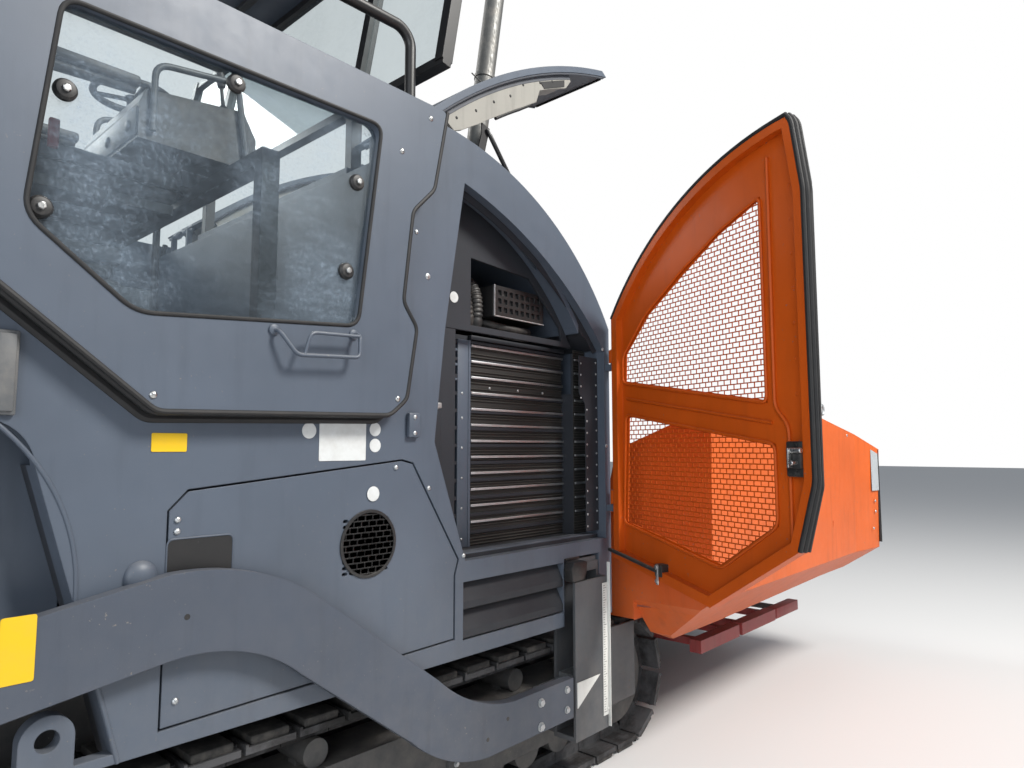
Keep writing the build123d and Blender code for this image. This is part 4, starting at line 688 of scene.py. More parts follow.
# Window side shields: pane seal, round fasteners, black edge trim that is partly painted shade, pull handle
SHIELD_FACE = 1.285
PANE = [(-1.56, 2.49), (-0.64, 2.5), (-0.72, 1.82), (-1.37, 1.77), (-1.61, 1.96)]
SHIELD_EDGE = [
    (-0.35, 2.65), (-0.41, 2.345), (-0.505, 2.245), (-0.542, 1.925), (-0.482, 1.845), (-0.522, 1.6),
    (-0.59, 1.545), (-1.31, 1.53), (-1.635, 1.786), (-1.974, 2.04),
]
FASTENERS = [(-1.54, 2.276), (-1.575, 1.985), (-1.13, 2.455), (-0.722, 2.288), (-0.755, 1.992)]
STUDS = [(-0.557, 2.44), (-0.43, 2.6), (-0.56, 1.6), (-1.32, 1.57), (-1.9, 2.6), (-1.9, 2.08)]
seal = Piece("shield_pane_seal", "rubber", "side_shield")
seal.sweep(at_y(1.2835, PANE), 0.0065, 8, closed=True, bend=(0.045, 6))
# Black trim along the shield's edge: partly its rubber seal, partly painted shade of the gap beside it
seal.sweep(at_y(1.2475, SHIELD_EDGE), 0.0095, 8, bend=(0.022, 4))
seal.sweep(at_y(1.2825, SHIELD_EDGE), 0.008, 8, bend=(0.022, 4))
caps = Piece("shield_pane_fasteners", "plastic", "side_shield")
caps.turned([(0, 0.026), (0.01, 0.026), (0.017, 0.021), (0.019, 0.014)], at_y(1.258, FASTENERS))
studs = Piece("shield_pane_studs", "steel", "side_shield")
studs.turned([(0.017, 0.01), (0.024, 0.01), (0.026, 0.008)], at_y(1.258, FASTENERS), 6)
studs.domes(at_y(SHIELD_FACE, STUDS), 0.01, 0.006, 14)
pull = Piece("shield_pull_handle", "body", "side_shield")
grip = [
    (-1.001, SHIELD_FACE, 1.772), (-1.001, 1.312, 1.766), (-0.955, 1.33, 1.702), (-0.744, 1.33, 1.714),
    (-0.738, 1.322, 1.786), (-0.738, SHIELD_FACE, 1.79),
]
pull.sweep(grip, 0.0062, bend=(0.018, 5))
strut = [(-0.932, 1.33, 1.706), (-0.912, 1.328, 1.772), (-0.742, 1.324, 1.78)]
pull.sweep(strut, 0.0055, 8, bend=(0.02, 4))
feet = at_y(SHIELD_FACE, ((-1.005, 1.772), (-0.738, 1.79)))
pull.turned([(0, 0.016), (0.005, 0.016), (0.007, 0.012)], feet, 16)

# Body sides: blank plates and discs, vent grille, caps, screws
SIDE_FACE, PLATE_THICK = 1.225, 0.0012
labels = Piece("blank_plates_yellow", plastic("blank_yellow_film", (0.74, 0.46, 0.005), 0.4, 0.08))
white = Piece("blank_plates_white", plastic("blank_white_film", (0.62, 0.64, 0.64), 0.35, 0.35))
vent = Piece("side_vent_grilles", "black")
fixings = Piece("body_side_fixings", "zinc")
covers = Piece("body_side_covers", "body")
for piece, plate in (
    (labels, rect((-1.297, -1.208), (1.43, 1.478))), (white, rect((-0.812, -0.64), (1.4, 1.522))),
):
    piece.prism(at_y(1.2252, plate), Y * PLATE_THICK, bend=(0.004, 3))
for radius, places in (
    (0.022, [(-0.152, 1.1122, 2.029)]),
    (0.022, at_y(1.2252, ((-0.604, 1.5), (-0.603, 1.448)))),
    (0.024, at_y(1.2252, ((-0.847, 1.492), (-0.607, 1.292)))),
):
    white.turned([(0, radius), (PLATE_THICK, radius)], places, 28)
RING, VENT = 0.098, (-0.62, 0, 1.135)
rim = [(0, RING + 0.01), (0.003, RING + 0.01), (0.004, RING), (0, RING)]
vent.turned(rim, [(VENT[0], 1.2235, VENT[2])], 40)


def vent_width(z):
    half = math.sqrt(max(0.0, RING**2 - z**2))
    return [-half, half] if half else []


brick_sheet(
    vent, vent_width, -RING, RING, 0.0185, 0.029, 0.004, (1.2225, 1.2243), Matrix.Translation(VENT),
)
covers.domes([(-1.308, SIDE_FACE, 1.122)], 0.04, 0.022, 28)
covers.box((-0.475, -0.425), (SIDE_FACE, 1.243), (1.475, 1.56), 0.006)
fixings.domes(at_y(1.243, ((-0.45, 1.545), (-0.45, 1.49))), 0.008, 0.004, 12)
SCREWS = [
    (-1.223, 1.255), (-1.223, 1.225), (-1.222, 1.075), (-0.2, 1.05), (-0.515, 1.375), (-1.21, 0.8),
    (0.695, 1.9), (0.715, 1.45), (-0.44, 2.2), (-0.37, 1.3),
]
fixings.domes(at_y(SIDE_FACE, SCREWS), 0.0085, 0.005, 12)
fixings.domes([(-0.385, SIDE_FACE, 2.05)], 0.012, 0.004)

# Body side: black strip under the shield as painted shadow of the gap, panel notch with painted shade, rear
# flange, side bar of the platform
SHADOW = [
    (-0.35, 2.655), (-0.372, 2.5), (-0.4, 2.345), (-0.505, 2.232), (-0.556, 1.925), (-0.496, 1.84),
    (-0.536, 1.59), (-0.6, 1.531), (-1.316, 1.516), (-1.645, 1.775), (-1.952, 2.018),
]
NOTCH = rect((-1.247, -1.072), (1.206, 1.096))
# Painted shadow: a black strip along the shield's lower edge stands in for the shade in the gap behind it
painted_shadow_strip = Piece("shield_painted_shadow_strips", "rubber")
painted_shadow_strip.sweep(at_y(1.22, SHADOW), 0.015, 8, bend=(0.02, 4))
# Painted shade: a black plate in the notch's outline stands in for the shade in its hollow
notch_shade_plates = Piece("service_panel_notch_shades", "black")
notch_shade_plates.prism(at_y(1.2232, NOTCH), Y * PLATE_THICK, bend=(0.018, 4))
edging = Piece("body_side_edging", "body")
edging.sweep(at_y(1.2236, NOTCH), 0.0028, 6, closed=True, bend=(0.018, 4))
flange = arc_through((-1.455, 1.089), (-1.545, 1.4), (-1.64, 1.505), 14)
edging.sweep(at_y(1.2235, [(-1.339, 0.69)] + [(x + 0.006, z) for x, z in flange]), 0.0055, 8)
edging.sweep(at_y(1.1015, [(-1.333, 0.7)] + [(x + 0.012, z) for x, z in flange[:10]]), 0.0045, 8)
side_bar = Piece("platform_side_bars", "grey_plastic")
side_bar.box((-1.636, -1.59), (1.226, 1.238), (1.512, 1.702), 0.004)
side_bar.box((-1.63, -1.596), (1.238, 1.244), (1.52, 1.694), 0.003)

# Coolers: core with fins on a dark panel that is painted shade of the core's depth, bright bar edges, riveted
# frame, gussets, catch, black sheets deep in the bay as painted shade
RIVETED = [(0.563, 1.861), (0.715, 1.861), (0.715, 1.063), (0.609, 1.063), (0.609, 1.64), (0.563, 1.69)]
BAY_ROOF = [(0.552, 2.012), (0.706, 1.918), (0.692, 1.898), (0.54, 1.99)]
CREST = Vector((-0.40581, 1.28778))
# Painted shade: the dark panel behind the fins stands in for the shade deep in the core
core = Piece("cooler_core_faces", "core")
core.box((0.0, 0.61), (1.0402, 1.044), (1.045, 1.9))
core.box((0.61, 0.7), (1.1122, 1.1135), (1.047, 1.9))
fins = Piece("cooler_fins", "fin")
for row in range(70):
    z = 1.052 + row * 0.0121
    if (row + 1) % 6:
        fins.box((0.001, 0.609), (1.044, 1.0495), (z, z + 0.0028))
        fins.box((0.611, 0.699), (1.1135, 1.118), (z, z + 0.0028))
bar_edges = Piece("cooler_bar_edges", "bar_edge")
rivets = Piece("cooler_rivets", "zinc")
for row in range(12):
    z = 1.138 + row * 0.716 / 11
    bar_edges.box((0.001, 0.609), (1.05, 1.0575), (z, z + 0.01), 0.002)
    z = 1.146 + row * 0.7 / 11
    bar_edges.box((0.611, 0.699), (1.118, 1.1225), (z, z + 0.01), 0.002)
    if row in (2, 8):
        rivets.domes(at_y(1.0445, [(x, z + 0.035) for x in (0.12, 0.3, 0.47)]), 0.006, 0.004, 10)
frames = Piece("cooler_riveted_frames", "recess")
frames.prism(at_y(1.1805, RIVETED), Y * 0.004)
for low, top in ((1.884, 1.902), (1.868, 1.878)):
    frames.box((-0.006, 0.612), (1.04, 1.062), (low, top), 0.002)
heights = [1.085 + row * 0.053 for row in range(15)]
line = [(0.621 if z < 1.66 else 0.577, z) for z in heights] + [(0.694, z + 0.012) for z in heights]
rivets.domes(at_y(1.1845, line), 0.005, 0.003, 10)
rivets.domes(at_y(1.0572, [(-0.052, z) for z in (1.08, 1.2, 1.32, 1.44, 1.56, 1.66)]), 0.0055, 0.003, 10)
rivets.domes(at_y(1.1122, [(-0.29, z) for z in (1.25, 1.75, 1.95)]), 0.006, 0.003, 12)
rivets.box((-0.3, -0.23), (1.1122, 1.1165), (1.585, 1.612), 0.002)
rivets.box((-0.262, -0.236), (1.1165, 1.142), (1.588, 1.609), 0.003)
gussets = Piece("cooler_gussets", "body")
gussets.box((-0.142, -0.077), (1.03, 1.04), (1.046, 1.9), 0.001)
gussets.box((-0.077, -0.006), (1.03, 1.057), (1.046, 1.88), 0.003)
gussets.box((-0.018, -0.006), (1.057, 1.059), (1.046, 1.88))
gussets.box((-0.19, 0.69), (1.112, 1.184), (1.045, 1.0485), 0.001)
for z in (1.71, 1.77, 1.83):
    gussets.prism([(-0.078, 1.0402, z), (-0.078, 1.056, z), (-0.138, 1.0402, z)], Z * 0.01)
# Painted shade: the bay roof and the lip under the opening's top take the dark recess colour where the body
# paint lies in shade
bay = Piece("engine_bay_front_roof", "recess", slot="body_paint")
bay.prism(at_y(0.704, BAY_ROOF), Y * 0.478)
arch = [Vector(p) for p in arc_through((-0.205, 2.445), (0.25, 2.262), (0.7, 1.896), 24)]
lip = [p + (p - CREST).normalized() * 0.012 for p in arch]
lip += [p - (p - CREST).normalized() * 0.03 for p in reversed(arch)]
bay.prism(at_y(1.1795, lip), Y * 0.0045)
# Painted shade: thin black sheets deep in the engine bay stand in for the shade there
bay_shade_sheet = Piece("engine_bay_shade_sheets", "plastic")
for reach, low, top in ((0.68, 1.75, 1.9), (0.56, 1.9, 1.99), (0.42, 1.99, 2.17)):
    bay_shade_sheet.box((-0.36, reach), (0.701, 0.7035), (low, top))

# Air boxes: bright rim, corrugated ducts beside them
air_rim = Piece("air_box_rims", "bar_edge")
air_rim.box((0.0935, 0.0975), (1.0885, 1.0985), (1.9935, 2.1265))
air_rim.box((0.0935, 0.4165), (1.0885, 1.0985), (1.9915, 1.9955))
ducts = Piece("air_ducts", "plastic")
RIBS = 60
for start, stop, low in ((-0.02, 0.02, 1.93), (0.045, 0.06, 1.915)):
    line = [(start - 0.03, 0.93, 2.165), (start, 1.01, 2.13), (start + 0.01, 1.03, 2.04), (stop, 1.01, low)]
    line = rounded(line, 0.06, 6, closed=False)
    places = [divmod(i * (len(line) - 1) / RIBS, 1) for i in range(RIBS)]
    spread = [line[int(k)].lerp(line[int(k) + 1], part) for k, part in places]
    ducts.sweep(spread, [0.0315 if i % 4 < 2 else 0.028 for i in range(RIBS)], 14)
for low in (1.955, 1.925):
    line = [(0.09, 0.99, low + 0.03), (0.2, 1.06, low), (0.33, 1.06, low), (0.44, 0.98, low + 0.02)]
    ducts.sweep(line, 0.016, 12, bend=(0.08, 6))

# Hood lids: web, liner, rubber, hook and bowl under the raised lid; gas strut to the body side
LID_HINGE = (-0.362, 2.664)
LID_CENTRE, LID_RADIUS = (-1.15542, 0.04825), 2.72041
LID_TURN = math.radians(60)
WEB_LOW = [
    (-0.262, 0.03), (-0.245, 0.086), (-0.2, 0.1), (-0.1, 0.112), (0.06, 0.118), (0.2, 0.118),
    (0.3, 0.112), (0.345, 0.066), (0.52, 0.066), (0.56, 0.036),
]


def raised(x, below, y):
    """A point under the closed lid at x, that far below its inner face, turned up to the raised place."""
    turn = math.acos((x - LID_CENTRE[0]) / LID_RADIUS)
    dx = LID_CENTRE[0] + (LID_RADIUS - below) * math.cos(turn) - LID_HINGE[0]
    dz = LID_CENTRE[1] + (LID_RADIUS - below) * math.sin(turn) - LID_HINGE[1]
    cos, sin = math.cos(LID_TURN), math.sin(LID_TURN)
    return Vector((LID_HINGE[0] + dx * cos - dz * sin, y, LID_HINGE[1] + dx * sin + dz * cos))


def strip(piece, upper, lower, near, far):
    """A curved bar under the lid: upper and lower give (x, depth) lines of the same length."""
    piece.solid([
        [raised(*a, near), raised(*a, far), raised(*b, far), raised(*b, near)] for a, b in zip(upper, lower)
    ])


def even(start, stop, count, depth):
    """An (x, depth) line in even steps at one depth."""
    return [(start + (stop - start) * k / count, depth) for k in range(count + 1)]


def steps_of(points, count):
    """Points at even steps along an (x, depth) line."""
    found = []
    for a, b in zip(points, points[1:]):
        found += [(a[0] + (b[0] - a[0]) * k / count, a[1] + (b[1] - a[1]) * k / count) for k in range(count)]
    return found + [points[-1]]


low_line = steps_of(WEB_LOW, 3)
top_line = [(x, min(0.027, d - 0.002)) for x, d in low_line]
web = Piece("hood_lid_web", "cream", "hood_lid")
strip(web, top_line, low_line, 1.146, 1.16)
for depth, near, far in ((0.012, 1.04, 1.15), (0.055, 1.026, 1.04), (0.05, 0.76, 0.775)):
    strip(web, even(-0.262, 0.505, 24, 0.001), even(-0.262, 0.505, 24, depth), near, far)
strip(web, even(0.3, 0.52, 6, 0.052), even(0.3, 0.52, 6, 0.058), 1.04, 1.15)
skin = Piece("hood_lid_liner", "underside", "hood_lid")
strip(skin, [(x, 0.001) for x, _ in low_line], top_line, 1.144, 1.161)
strip(skin, even(-0.3, 0.765, 30, -0.0005), even(-0.3, 0.765, 30, 0.0012), 0.724, 1.172)
for y in (0.722, 1.1725):
    skin.sweep([raised(x, d, y) for x, d in even(-0.3, 0.765, 30, 0.004)], 0.0055, 6)
dark = Piece("hood_lid_seals", "rubber", "hood_lid")
lower = steps_of([(0.02, 0.122), (0.18, 0.122), (0.262, 0.117)], 4)
dark.sweep([raised(x, d, 1.153) for x, d in lower], 0.0075, 8)
dark.sweep([raised(0.762, 0.006, y) for y in (0.74, 1.16)], 0.005, 8)
plugs = [(-0.2, 0.05), (-0.08, 0.062), (0.04, 0.06), (0.15, 0.06), (0.25, 0.03), (0.36, 0.034), (0.44, 0.034)]
dark.domes([raised(x, d, 1.16) for x, d in plugs], 0.0065, 0.003, 10)
flap = [(0.36, 0.03), (0.52, 0.03), (0.51, 0.06), (0.375, 0.062)]
dark.prism([raised(x, d, 1.1605) for x, d in flap], Y * 0.0015)
hook = [(-0.06, 0.112), (-0.03, 0.15), (-0.13, 0.232), (-0.172, 0.232), (-0.16, 0.205), (-0.085, 0.15)]
dark.prism([raised(x, d, 1.1412) for x, d in hook], Y * 0.0045)
bowl = Piece("hood_lid_bowl", "cream", "hood_lid")
centre = raised(0.385, 0.046, 1.085)
across = (raised(0.5, 0.046, 1.085) - raised(0.27, 0.046, 1.085)).normalized()
down = (raised(0.385, 0.09, 1.085) - centre).normalized()
levels = ((1.0, -0.004), (0.97, 0.004), (0.8, 0.01), (0.45, 0.013))
rings = [
    circle(centre + down * drop, 28, across * 0.115 * level, Y * 0.062 * level) for level, drop in levels
]
bowl.solid(rings + [[centre + down * 0.014]])
foot, head = Vector((0.28, 1.1525, 2.41)), Vector((-0.013, 1.1525, 2.751))
run = head - foot
strut = Piece("hood_lid_gas_strut", "black", "hood_lid", link=(foot, head))
strut.turned(
    [
        (0.0, 0.0), (0.0, 0.006), (0.006, 0.0085), (0.02, 0.0085), (0.024, 0.004), (0.15, 0.004),
        (0.152, 0.009), (0.19, 0.0095), (0.25, 0.0095), (0.31, 0.0095), (0.37, 0.0095),
        (0.42, 0.0095), (0.424, 0.0075), (run.length - 0.008, 0.0075), (run.length, 0.004),
    ],
    [foot], 14, run,
)
studs = Piece("hood_lid_strut_studs", "zinc")
studs.rod((0.28, 1.1865, 2.41), (0.28, 1.143, 2.41), 0.007, 12)
studs.box((0.262, 0.298), (1.18, 1.1852), (2.385, 2.435), 0.001)

# Exhaust stack: clamps with their bolts, stay rod from the windscreen's lower corner
stack_way = Vector((math.sin(math.radians(9)), 0, math.cos(math.radians(9))))
stack_base = Vector((0.455, -0.5, 2.326))
clamp = Piece("stack_clamps", "stack", kind="one")
for height in (0.085, 0.62, 1.15):
    centre = stack_base + stack_way * height
    clamp.turned([(0.0, 0.0535), (0.0, 0.0575), (0.022, 0.0575), (0.022, 0.0535)], [centre], 40, stack_way)
    ear = centre + stack_way * 0.011 + Vector((0.6, -0.8, 0)) * 0.055
    clamp.rod(ear + X * 0.02, ear - X * 0.02, 0.004, 8)
clamp.rod(stack_base + stack_way * 1.07 - Y * 0.05, (0.44, -0.6, 3.385), 0.0035, 8)

# Tow posts: rubber stops, graduated strips and the sliders' pointers; arms: bolts, holes, blank labels
ARM_FACE = 1.275
stops = Piece("tow_post_stops", "stop")
block = [(0.392, 0.876), (0.47, 0.876), (0.49, 0.905), (0.498, 0.955), (0.4, 0.958), (0.384, 0.93)]
stops.prism(at_y(1.2265, block), Y * 0.046, 0.006)
stops.box((0.404, 0.5), (1.166, 1.226), (0.9595, 0.972), 0.004)
pale = plastic("scale_pale_film", (0.66, 0.66, 0.63), 0.4, 0.2)
scales = Piece("tow_post_scales", pale, slot="bare_steel")
scales.box((0.596, 0.638), (1.2752, 1.2785), (0.285, 0.848), 0.0006)
scales.box((0.6335, 0.6368), (1.2752, 1.2905), (0.235, 0.936), 0.0006)
scales.bolts(at_y(1.2785, ((0.628, 0.31), (0.628, 0.83))), 0.005)
ticks = Piece("tow_post_scale_marks", "black")
for tick in range(52):
    z = 0.3 + tick * 0.0105
    ticks.box((0.6, 0.612 if tick % 5 else 0.622), (1.2785, 1.2788), (z, z + 0.0018))
pale = plastic("pointer_white_paint", (0.7, 0.7, 0.67), 0.45, 0.25)
pointers = Piece("tow_point_pointers", pale, "tow_sliders", slot="body_paint")
pointers.prism(at_y(1.2765, ((0.412, 0.468), (0.572, 0.468), (0.412, 0.365))), Y * 0.0022)
pointers.box((0.4092, 0.412), (1.205, 1.2787), (0.365, 0.468))
pointers.box((0.355, 0.412), (1.2095, 1.212), (0.372, 0.45))
arm_bolts = Piece("tow_arm_bolts", "zinc", "screed")
arm_bolts.bolts(at_y(ARM_FACE, ((0.176, 0.449), (0.175, 0.359))), 0.013)
arm_bolts.bolts(at_y(ARM_FACE, ((0.341, 0.457), (0.34, 0.379))), 0.011)
arm_holes = Piece("tow_arm_holes", "black", "screed")
holes = at_y(ARM_FACE, ((-0.015, 0.441), (-0.121, 0.398), (-1.21, 1.016), (-1.93, 0.91)))
arm_holes.turned([(0, 0.0075), (0.0004, 0.0075)], holes, 16)
arm_labels = Piece("tow_arm_blank_labels", labels.material, "screed")
arm_labels.prism(at_y(1.2751, rect((-1.602, -1.535), (0.938, 1.08))), Y * 0.001, bend=(0.006, 3))

# Tracks: shoes with two pads each, links and bolts around one loop
AXIS, SHOE_LINE, SHOES = 0.31, 0.265, 38
SPROCKET, IDLER = -1.44, 0.99
SPAN = IDLER - SPROCKET
LOOP = 2 * SPAN + 2 * math.pi * SHOE_LINE


def loop_place(s):
    """Place and turn of the line under the shoes, after a length s from the sprocket."""
    half = math.pi * SHOE_LINE
    if s < SPAN:
        return SPROCKET + s, AXIS - SHOE_LINE, 0.0
    s -= SPAN
    if s < half:
        turn = s / SHOE_LINE
        return IDLER + SHOE_LINE * math.sin(turn), AXIS - SHOE_LINE * math.cos(turn), turn
    s -= half
    if s < SPAN:
        return IDLER - s, AXIS + SHOE_LINE, math.pi
    turn = (s - SPAN) / SHOE_LINE
    return SPROCKET - SHOE_LINE * math.sin(turn), AXIS + SHOE_LINE * math.cos(turn), math.pi + turn


shoes = Piece("track_shoes", "track", kind="each", smooth=25, replaces="track")
pads = Piece("track_pads", "pad", kind="each", smooth=25)
for number in range(SHOES):
    x, z, turn = loop_place((number + 0.001) * LOOP / SHOES)
    outward = Vector((math.sin(turn), 0, -math.cos(turn)))
    place = place_of((x, 0, z), (math.cos(turn), 0, math.sin(turn)), Y, outward)
    shoes.box((-0.079, 0.079), (0.83, 1.155), (0.0, 0.02), place=place)
    shoes.box((0.07, 0.0795), (0.83, 1.155), (0.02, 0.028), place=place)
    for link in ((0.93, 0.952), (1.033, 1.055)):
        shoes.box((-0.0845, 0.0845), link, (-0.055, 0.0), place=place)
    for half in ((0.838, 0.985), (1.0, 1.147)):
        pads.box((-0.062, 0.06), half, (0.018, 0.0448), 0.006, place)
    heads = [place @ Vector((-0.072, y, 0.02)) for y in (0.86, 0.96, 1.02, 1.12)]
    shoes.turned([(0, 0.01), (0.007, 0.01)], heads, 6, outward)

# Track wheels: hub caps with bolt circles, on the outside of the frames
hubs = Piece("track_hub_caps", "dark")
hub_bolts = Piece("track_hub_bolts", "zinc")
profile = [(0.0, 0.104), (0.01, 0.104), (0.014, 0.098), (0.014, 0.062), (0.022, 0.056), (0.022, 0.0)]
hubs.turned(profile, [(SPROCKET, 1.1295, AXIS)], 36)
hub_bolts.bolts(circle((SPROCKET, 1.1435, AXIS), 12, X * 0.081, Z * 0.081), 0.0075)
hubs.turned([(0.0, 0.055), (0.012, 0.052), (0.014, 0.0)], [(IDLER, 1.1245, AXIS)], 28)
hub_bolts.bolts(circle((IDLER, 1.137, AXIS), 6, X * 0.036, Z * 0.036), 0.0055)
rollers = [(SPROCKET + 0.45 + number * (SPAN - 0.9) / 7, 0.265) for number in range(8)]
hubs.turned([(0.0, 0.04), (0.01, 0.036), (0.012, 0.0)], at_y(1.0945, rollers), 20)
hub_bolts.bolts(at_y(1.106, rollers), 0.009)


# Hopper wings: rubber lip on the front edge, blank corner plate, screws, lifting eye, ribs
FRONT = 3.327
lip = Piece("hopper_wing_lip", "rubber", "hopper_wing")
lip.sweep([(FRONT, 1.688, z) for z in (0.8, 1.0, 1.2, 1.428)], 0.011)
lip.sweep([(FRONT, 0.96, 0.668), (FRONT, 1.3, 0.712), (FRONT, 1.66, 0.79)], 0.011)
pale = plastic("pale_plate", (0.42, 0.45, 0.47), 0.4, 0.3)
plates = Piece("hopper_wing_blank_plate", pale, "hopper_wing")
corners = [(3.195, 1.6835, 1.15), (3.31, 1.6958, 1.15), (3.31, 1.6958, 1.4), (3.195, 1.6835, 1.43)]
plates.prism(corners, Y * PLATE_THICK)
screws = Piece("hopper_wing_screws", "zinc", "hopper_wing")
for x, z in (
    (3.245, 1.08), (3.245, 1.01), (3.2, 0.9), (1.05, 1.58), (1.6, 1.58), (2.2, 1.58), (2.8, 1.52),
):
    flare = max(0.0, x - 2.95) * 0.042 / 0.39
    screws.domes([(x, 1.6565 + flare, z)], 0.009, 0.005, 12)
screws.sweep(circle((2.377, 1.648, 1.668), 20, X * 0.026, Z * 0.03), 0.0065, 8, closed=True)
ribs = Piece("hopper_wing_ribs", "orange", "hopper_wing")
for x in (1.3, 1.9, 2.5):
    ribs.prism([(x, 1.25, 0.7), (x, 1.63, 0.768), (x, 1.648, 1.0), (x, 1.64, 1.0)], X * 0.012)

# Red bars go on to the front under the wings, with brackets; black hoses above them
bars = Piece("side_bar_front_lengths", "red")
bars.box((2.7, 3.08), (1.13, 1.2), (0.312, 0.378), 0.003)
bar_brackets = Piece("side_bar_brackets", "dark")
bar_brackets.box((2.64, 3.04), (1.14, 1.19), (0.322, 0.368), 0.002)
bar_brackets.box((2.86, 2.9), (0.78, 1.132), (0.33, 0.362), 0.002)
hoses = Piece("hopper_side_hoses", "rubber")
for shift, low in ((0.0, 0.535), (0.035, 0.5), (0.075, 0.56)):
    line = [
        (0.99, 0.84, low + 0.03), (1.3, 0.9 + shift, low), (1.85, 0.905 + shift, low - 0.035),
        (2.35, 0.9 + shift, low), (2.8, 0.885 + shift, low - 0.02), (2.94, 0.84, low + 0.02),
    ]
    hoses.sweep(line, 0.0135, bend=(0.12, 6))
clips = Piece("hopper_side_hose_clips", "zinc")
for x in (1.33, 1.9, 2.4, 2.78):
    clips.box((x, x + 0.022), (0.875, 1.0), (0.56, 0.566), 0.001)
    clips.box((x, x + 0.022), (0.87, 0.876), (0.48, 0.626), 0.001)

# Lamps: pale lenses with bezels, on the canopy and the hood
lenses = Piece("lamp_lenses", plastic("lamp_lens_clear", (0.75, 0.78, 0.8), 0.12, 0.1))
bezels = Piece("lamp_bezels", "plastic")


def inset(span, rim):
    return (span[0] + rim, span[1] - rim)


for front, y, z in ((-0.07, (0.73, 0.87), (3.745, 3.815)), (0.805, (0.39, 0.51), (1.78, 1.86))):
    lenses.box((front, front + 0.002), inset(y, 0.01), inset(z, 0.01), 0.001)
    edges = [rect(inset(y, rim), inset(z, rim)) for rim in (0, 0.009)]
    bezels.frame_plate(*([Vector((front, a, b)) for a, b in edge] for edge in edges), X * 0.004)

# Seats: sewn cushions, blown up as cloth where time allows, with piping and a bellows below
CAP = 0.009
FRAMES = 20
seat_cloth = plastic("seat_black_vinyl", (0.028, 0.028, 0.03), 0.55, 0.35, 0.0016)


def baked(shell):
    """Makes the shell's modifiers its mesh."""
    evaluated = shell.evaluated_get(bpy.context.evaluated_depsgraph_get())
    shell.data = bpy.data.meshes.new_from_object(evaluated)
    shell.modifiers.clear()


def blow_up(shell):
    """Even quads, then a short cloth run with pressure that moves each point by the cap at most."""
    cut = shell.modifiers.new("voxels", "REMESH")
    cut.mode = "VOXEL"
    cut.voxel_size = 0.01
    baked(shell)
    cloth = shell.modifiers.new("cloth", "CLOTH")
    cloth.settings.use_pressure = True
    cloth.settings.uniform_pressure_force = 4.0
    cloth.settings.effector_weights.gravity = 0.0
    cloth.point_cache.frame_start = 1
    cloth.point_cache.frame_end = FRAMES
    for number in range(1, FRAMES + 1):
        scene.frame_set(number)
    blown = shell.evaluated_get(bpy.context.evaluated_depsgraph_get()).data
    places = [v.co.copy() for v in blown.vertices]
    shell.modifiers.clear()
    scene.frame_set(1)
    for vertex, place in zip(shell.data.vertices, places):
        move = place - vertex.co
        vertex.co += move if move.length <= CAP else move.normalized() * CAP
    smoother = shell.modifiers.new("smooth", "SUBSURF")
    smoother.levels = smoother.render_levels = 1
    baked(shell)


def cushion(name, low, high, up):
    """A padded block from its two corners; up is the axis it crowns along, its far face staying flat."""
    centre = [(a + b) / 2 for a, b in zip(low, high)]
    half = [(b - a) / 2 for a, b in zip(low, high)]
    block = Piece(name, seat_cloth, kind="loose", smooth=60)
    bm = block.halves[0][1]
    size = Matrix.Diagonal((*(b - a for a, b in zip(low, high)), 1.0))
    cube = bmesh.ops.create_cube(bm, size=1.0, matrix=Matrix.Translation(centre) @ size)
    block.close(bm, cube["verts"], 0.03, 4)
    shell = block.as_object(name, bm)
    blow_up(shell)
    for vertex in shell.data.vertices:
        place = [(vertex.co[axis] - centre[axis]) / half[axis] for axis in range(3)]
        face, u, v = place[up], place[2 - up], place[1]
        crown = max(0.0, 1 - u * u) * max(0.0, 1 - v * v)
        groove = math.exp(-(((abs(v) - 0.52) / 0.035) ** 2))
        groove += sum(math.exp(-(((u - at) / 0.03) ** 2)) for at in (-0.34, 0.34))
        if face > 0.2:
            vertex.co[up] += 0.01 * crown - 0.006 * min(1.0, groove) * min(1.0, crown * 3)
        vertex.co[up] = max(vertex.co[up], low[up] - 0.002)
    for polygon in shell.data.polygons:
        polygon.use_smooth = True
    if not shell.data.materials:
        shell.data.materials.append(seat_cloth)
    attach(shell, "machine")
    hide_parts("seat_cushions")


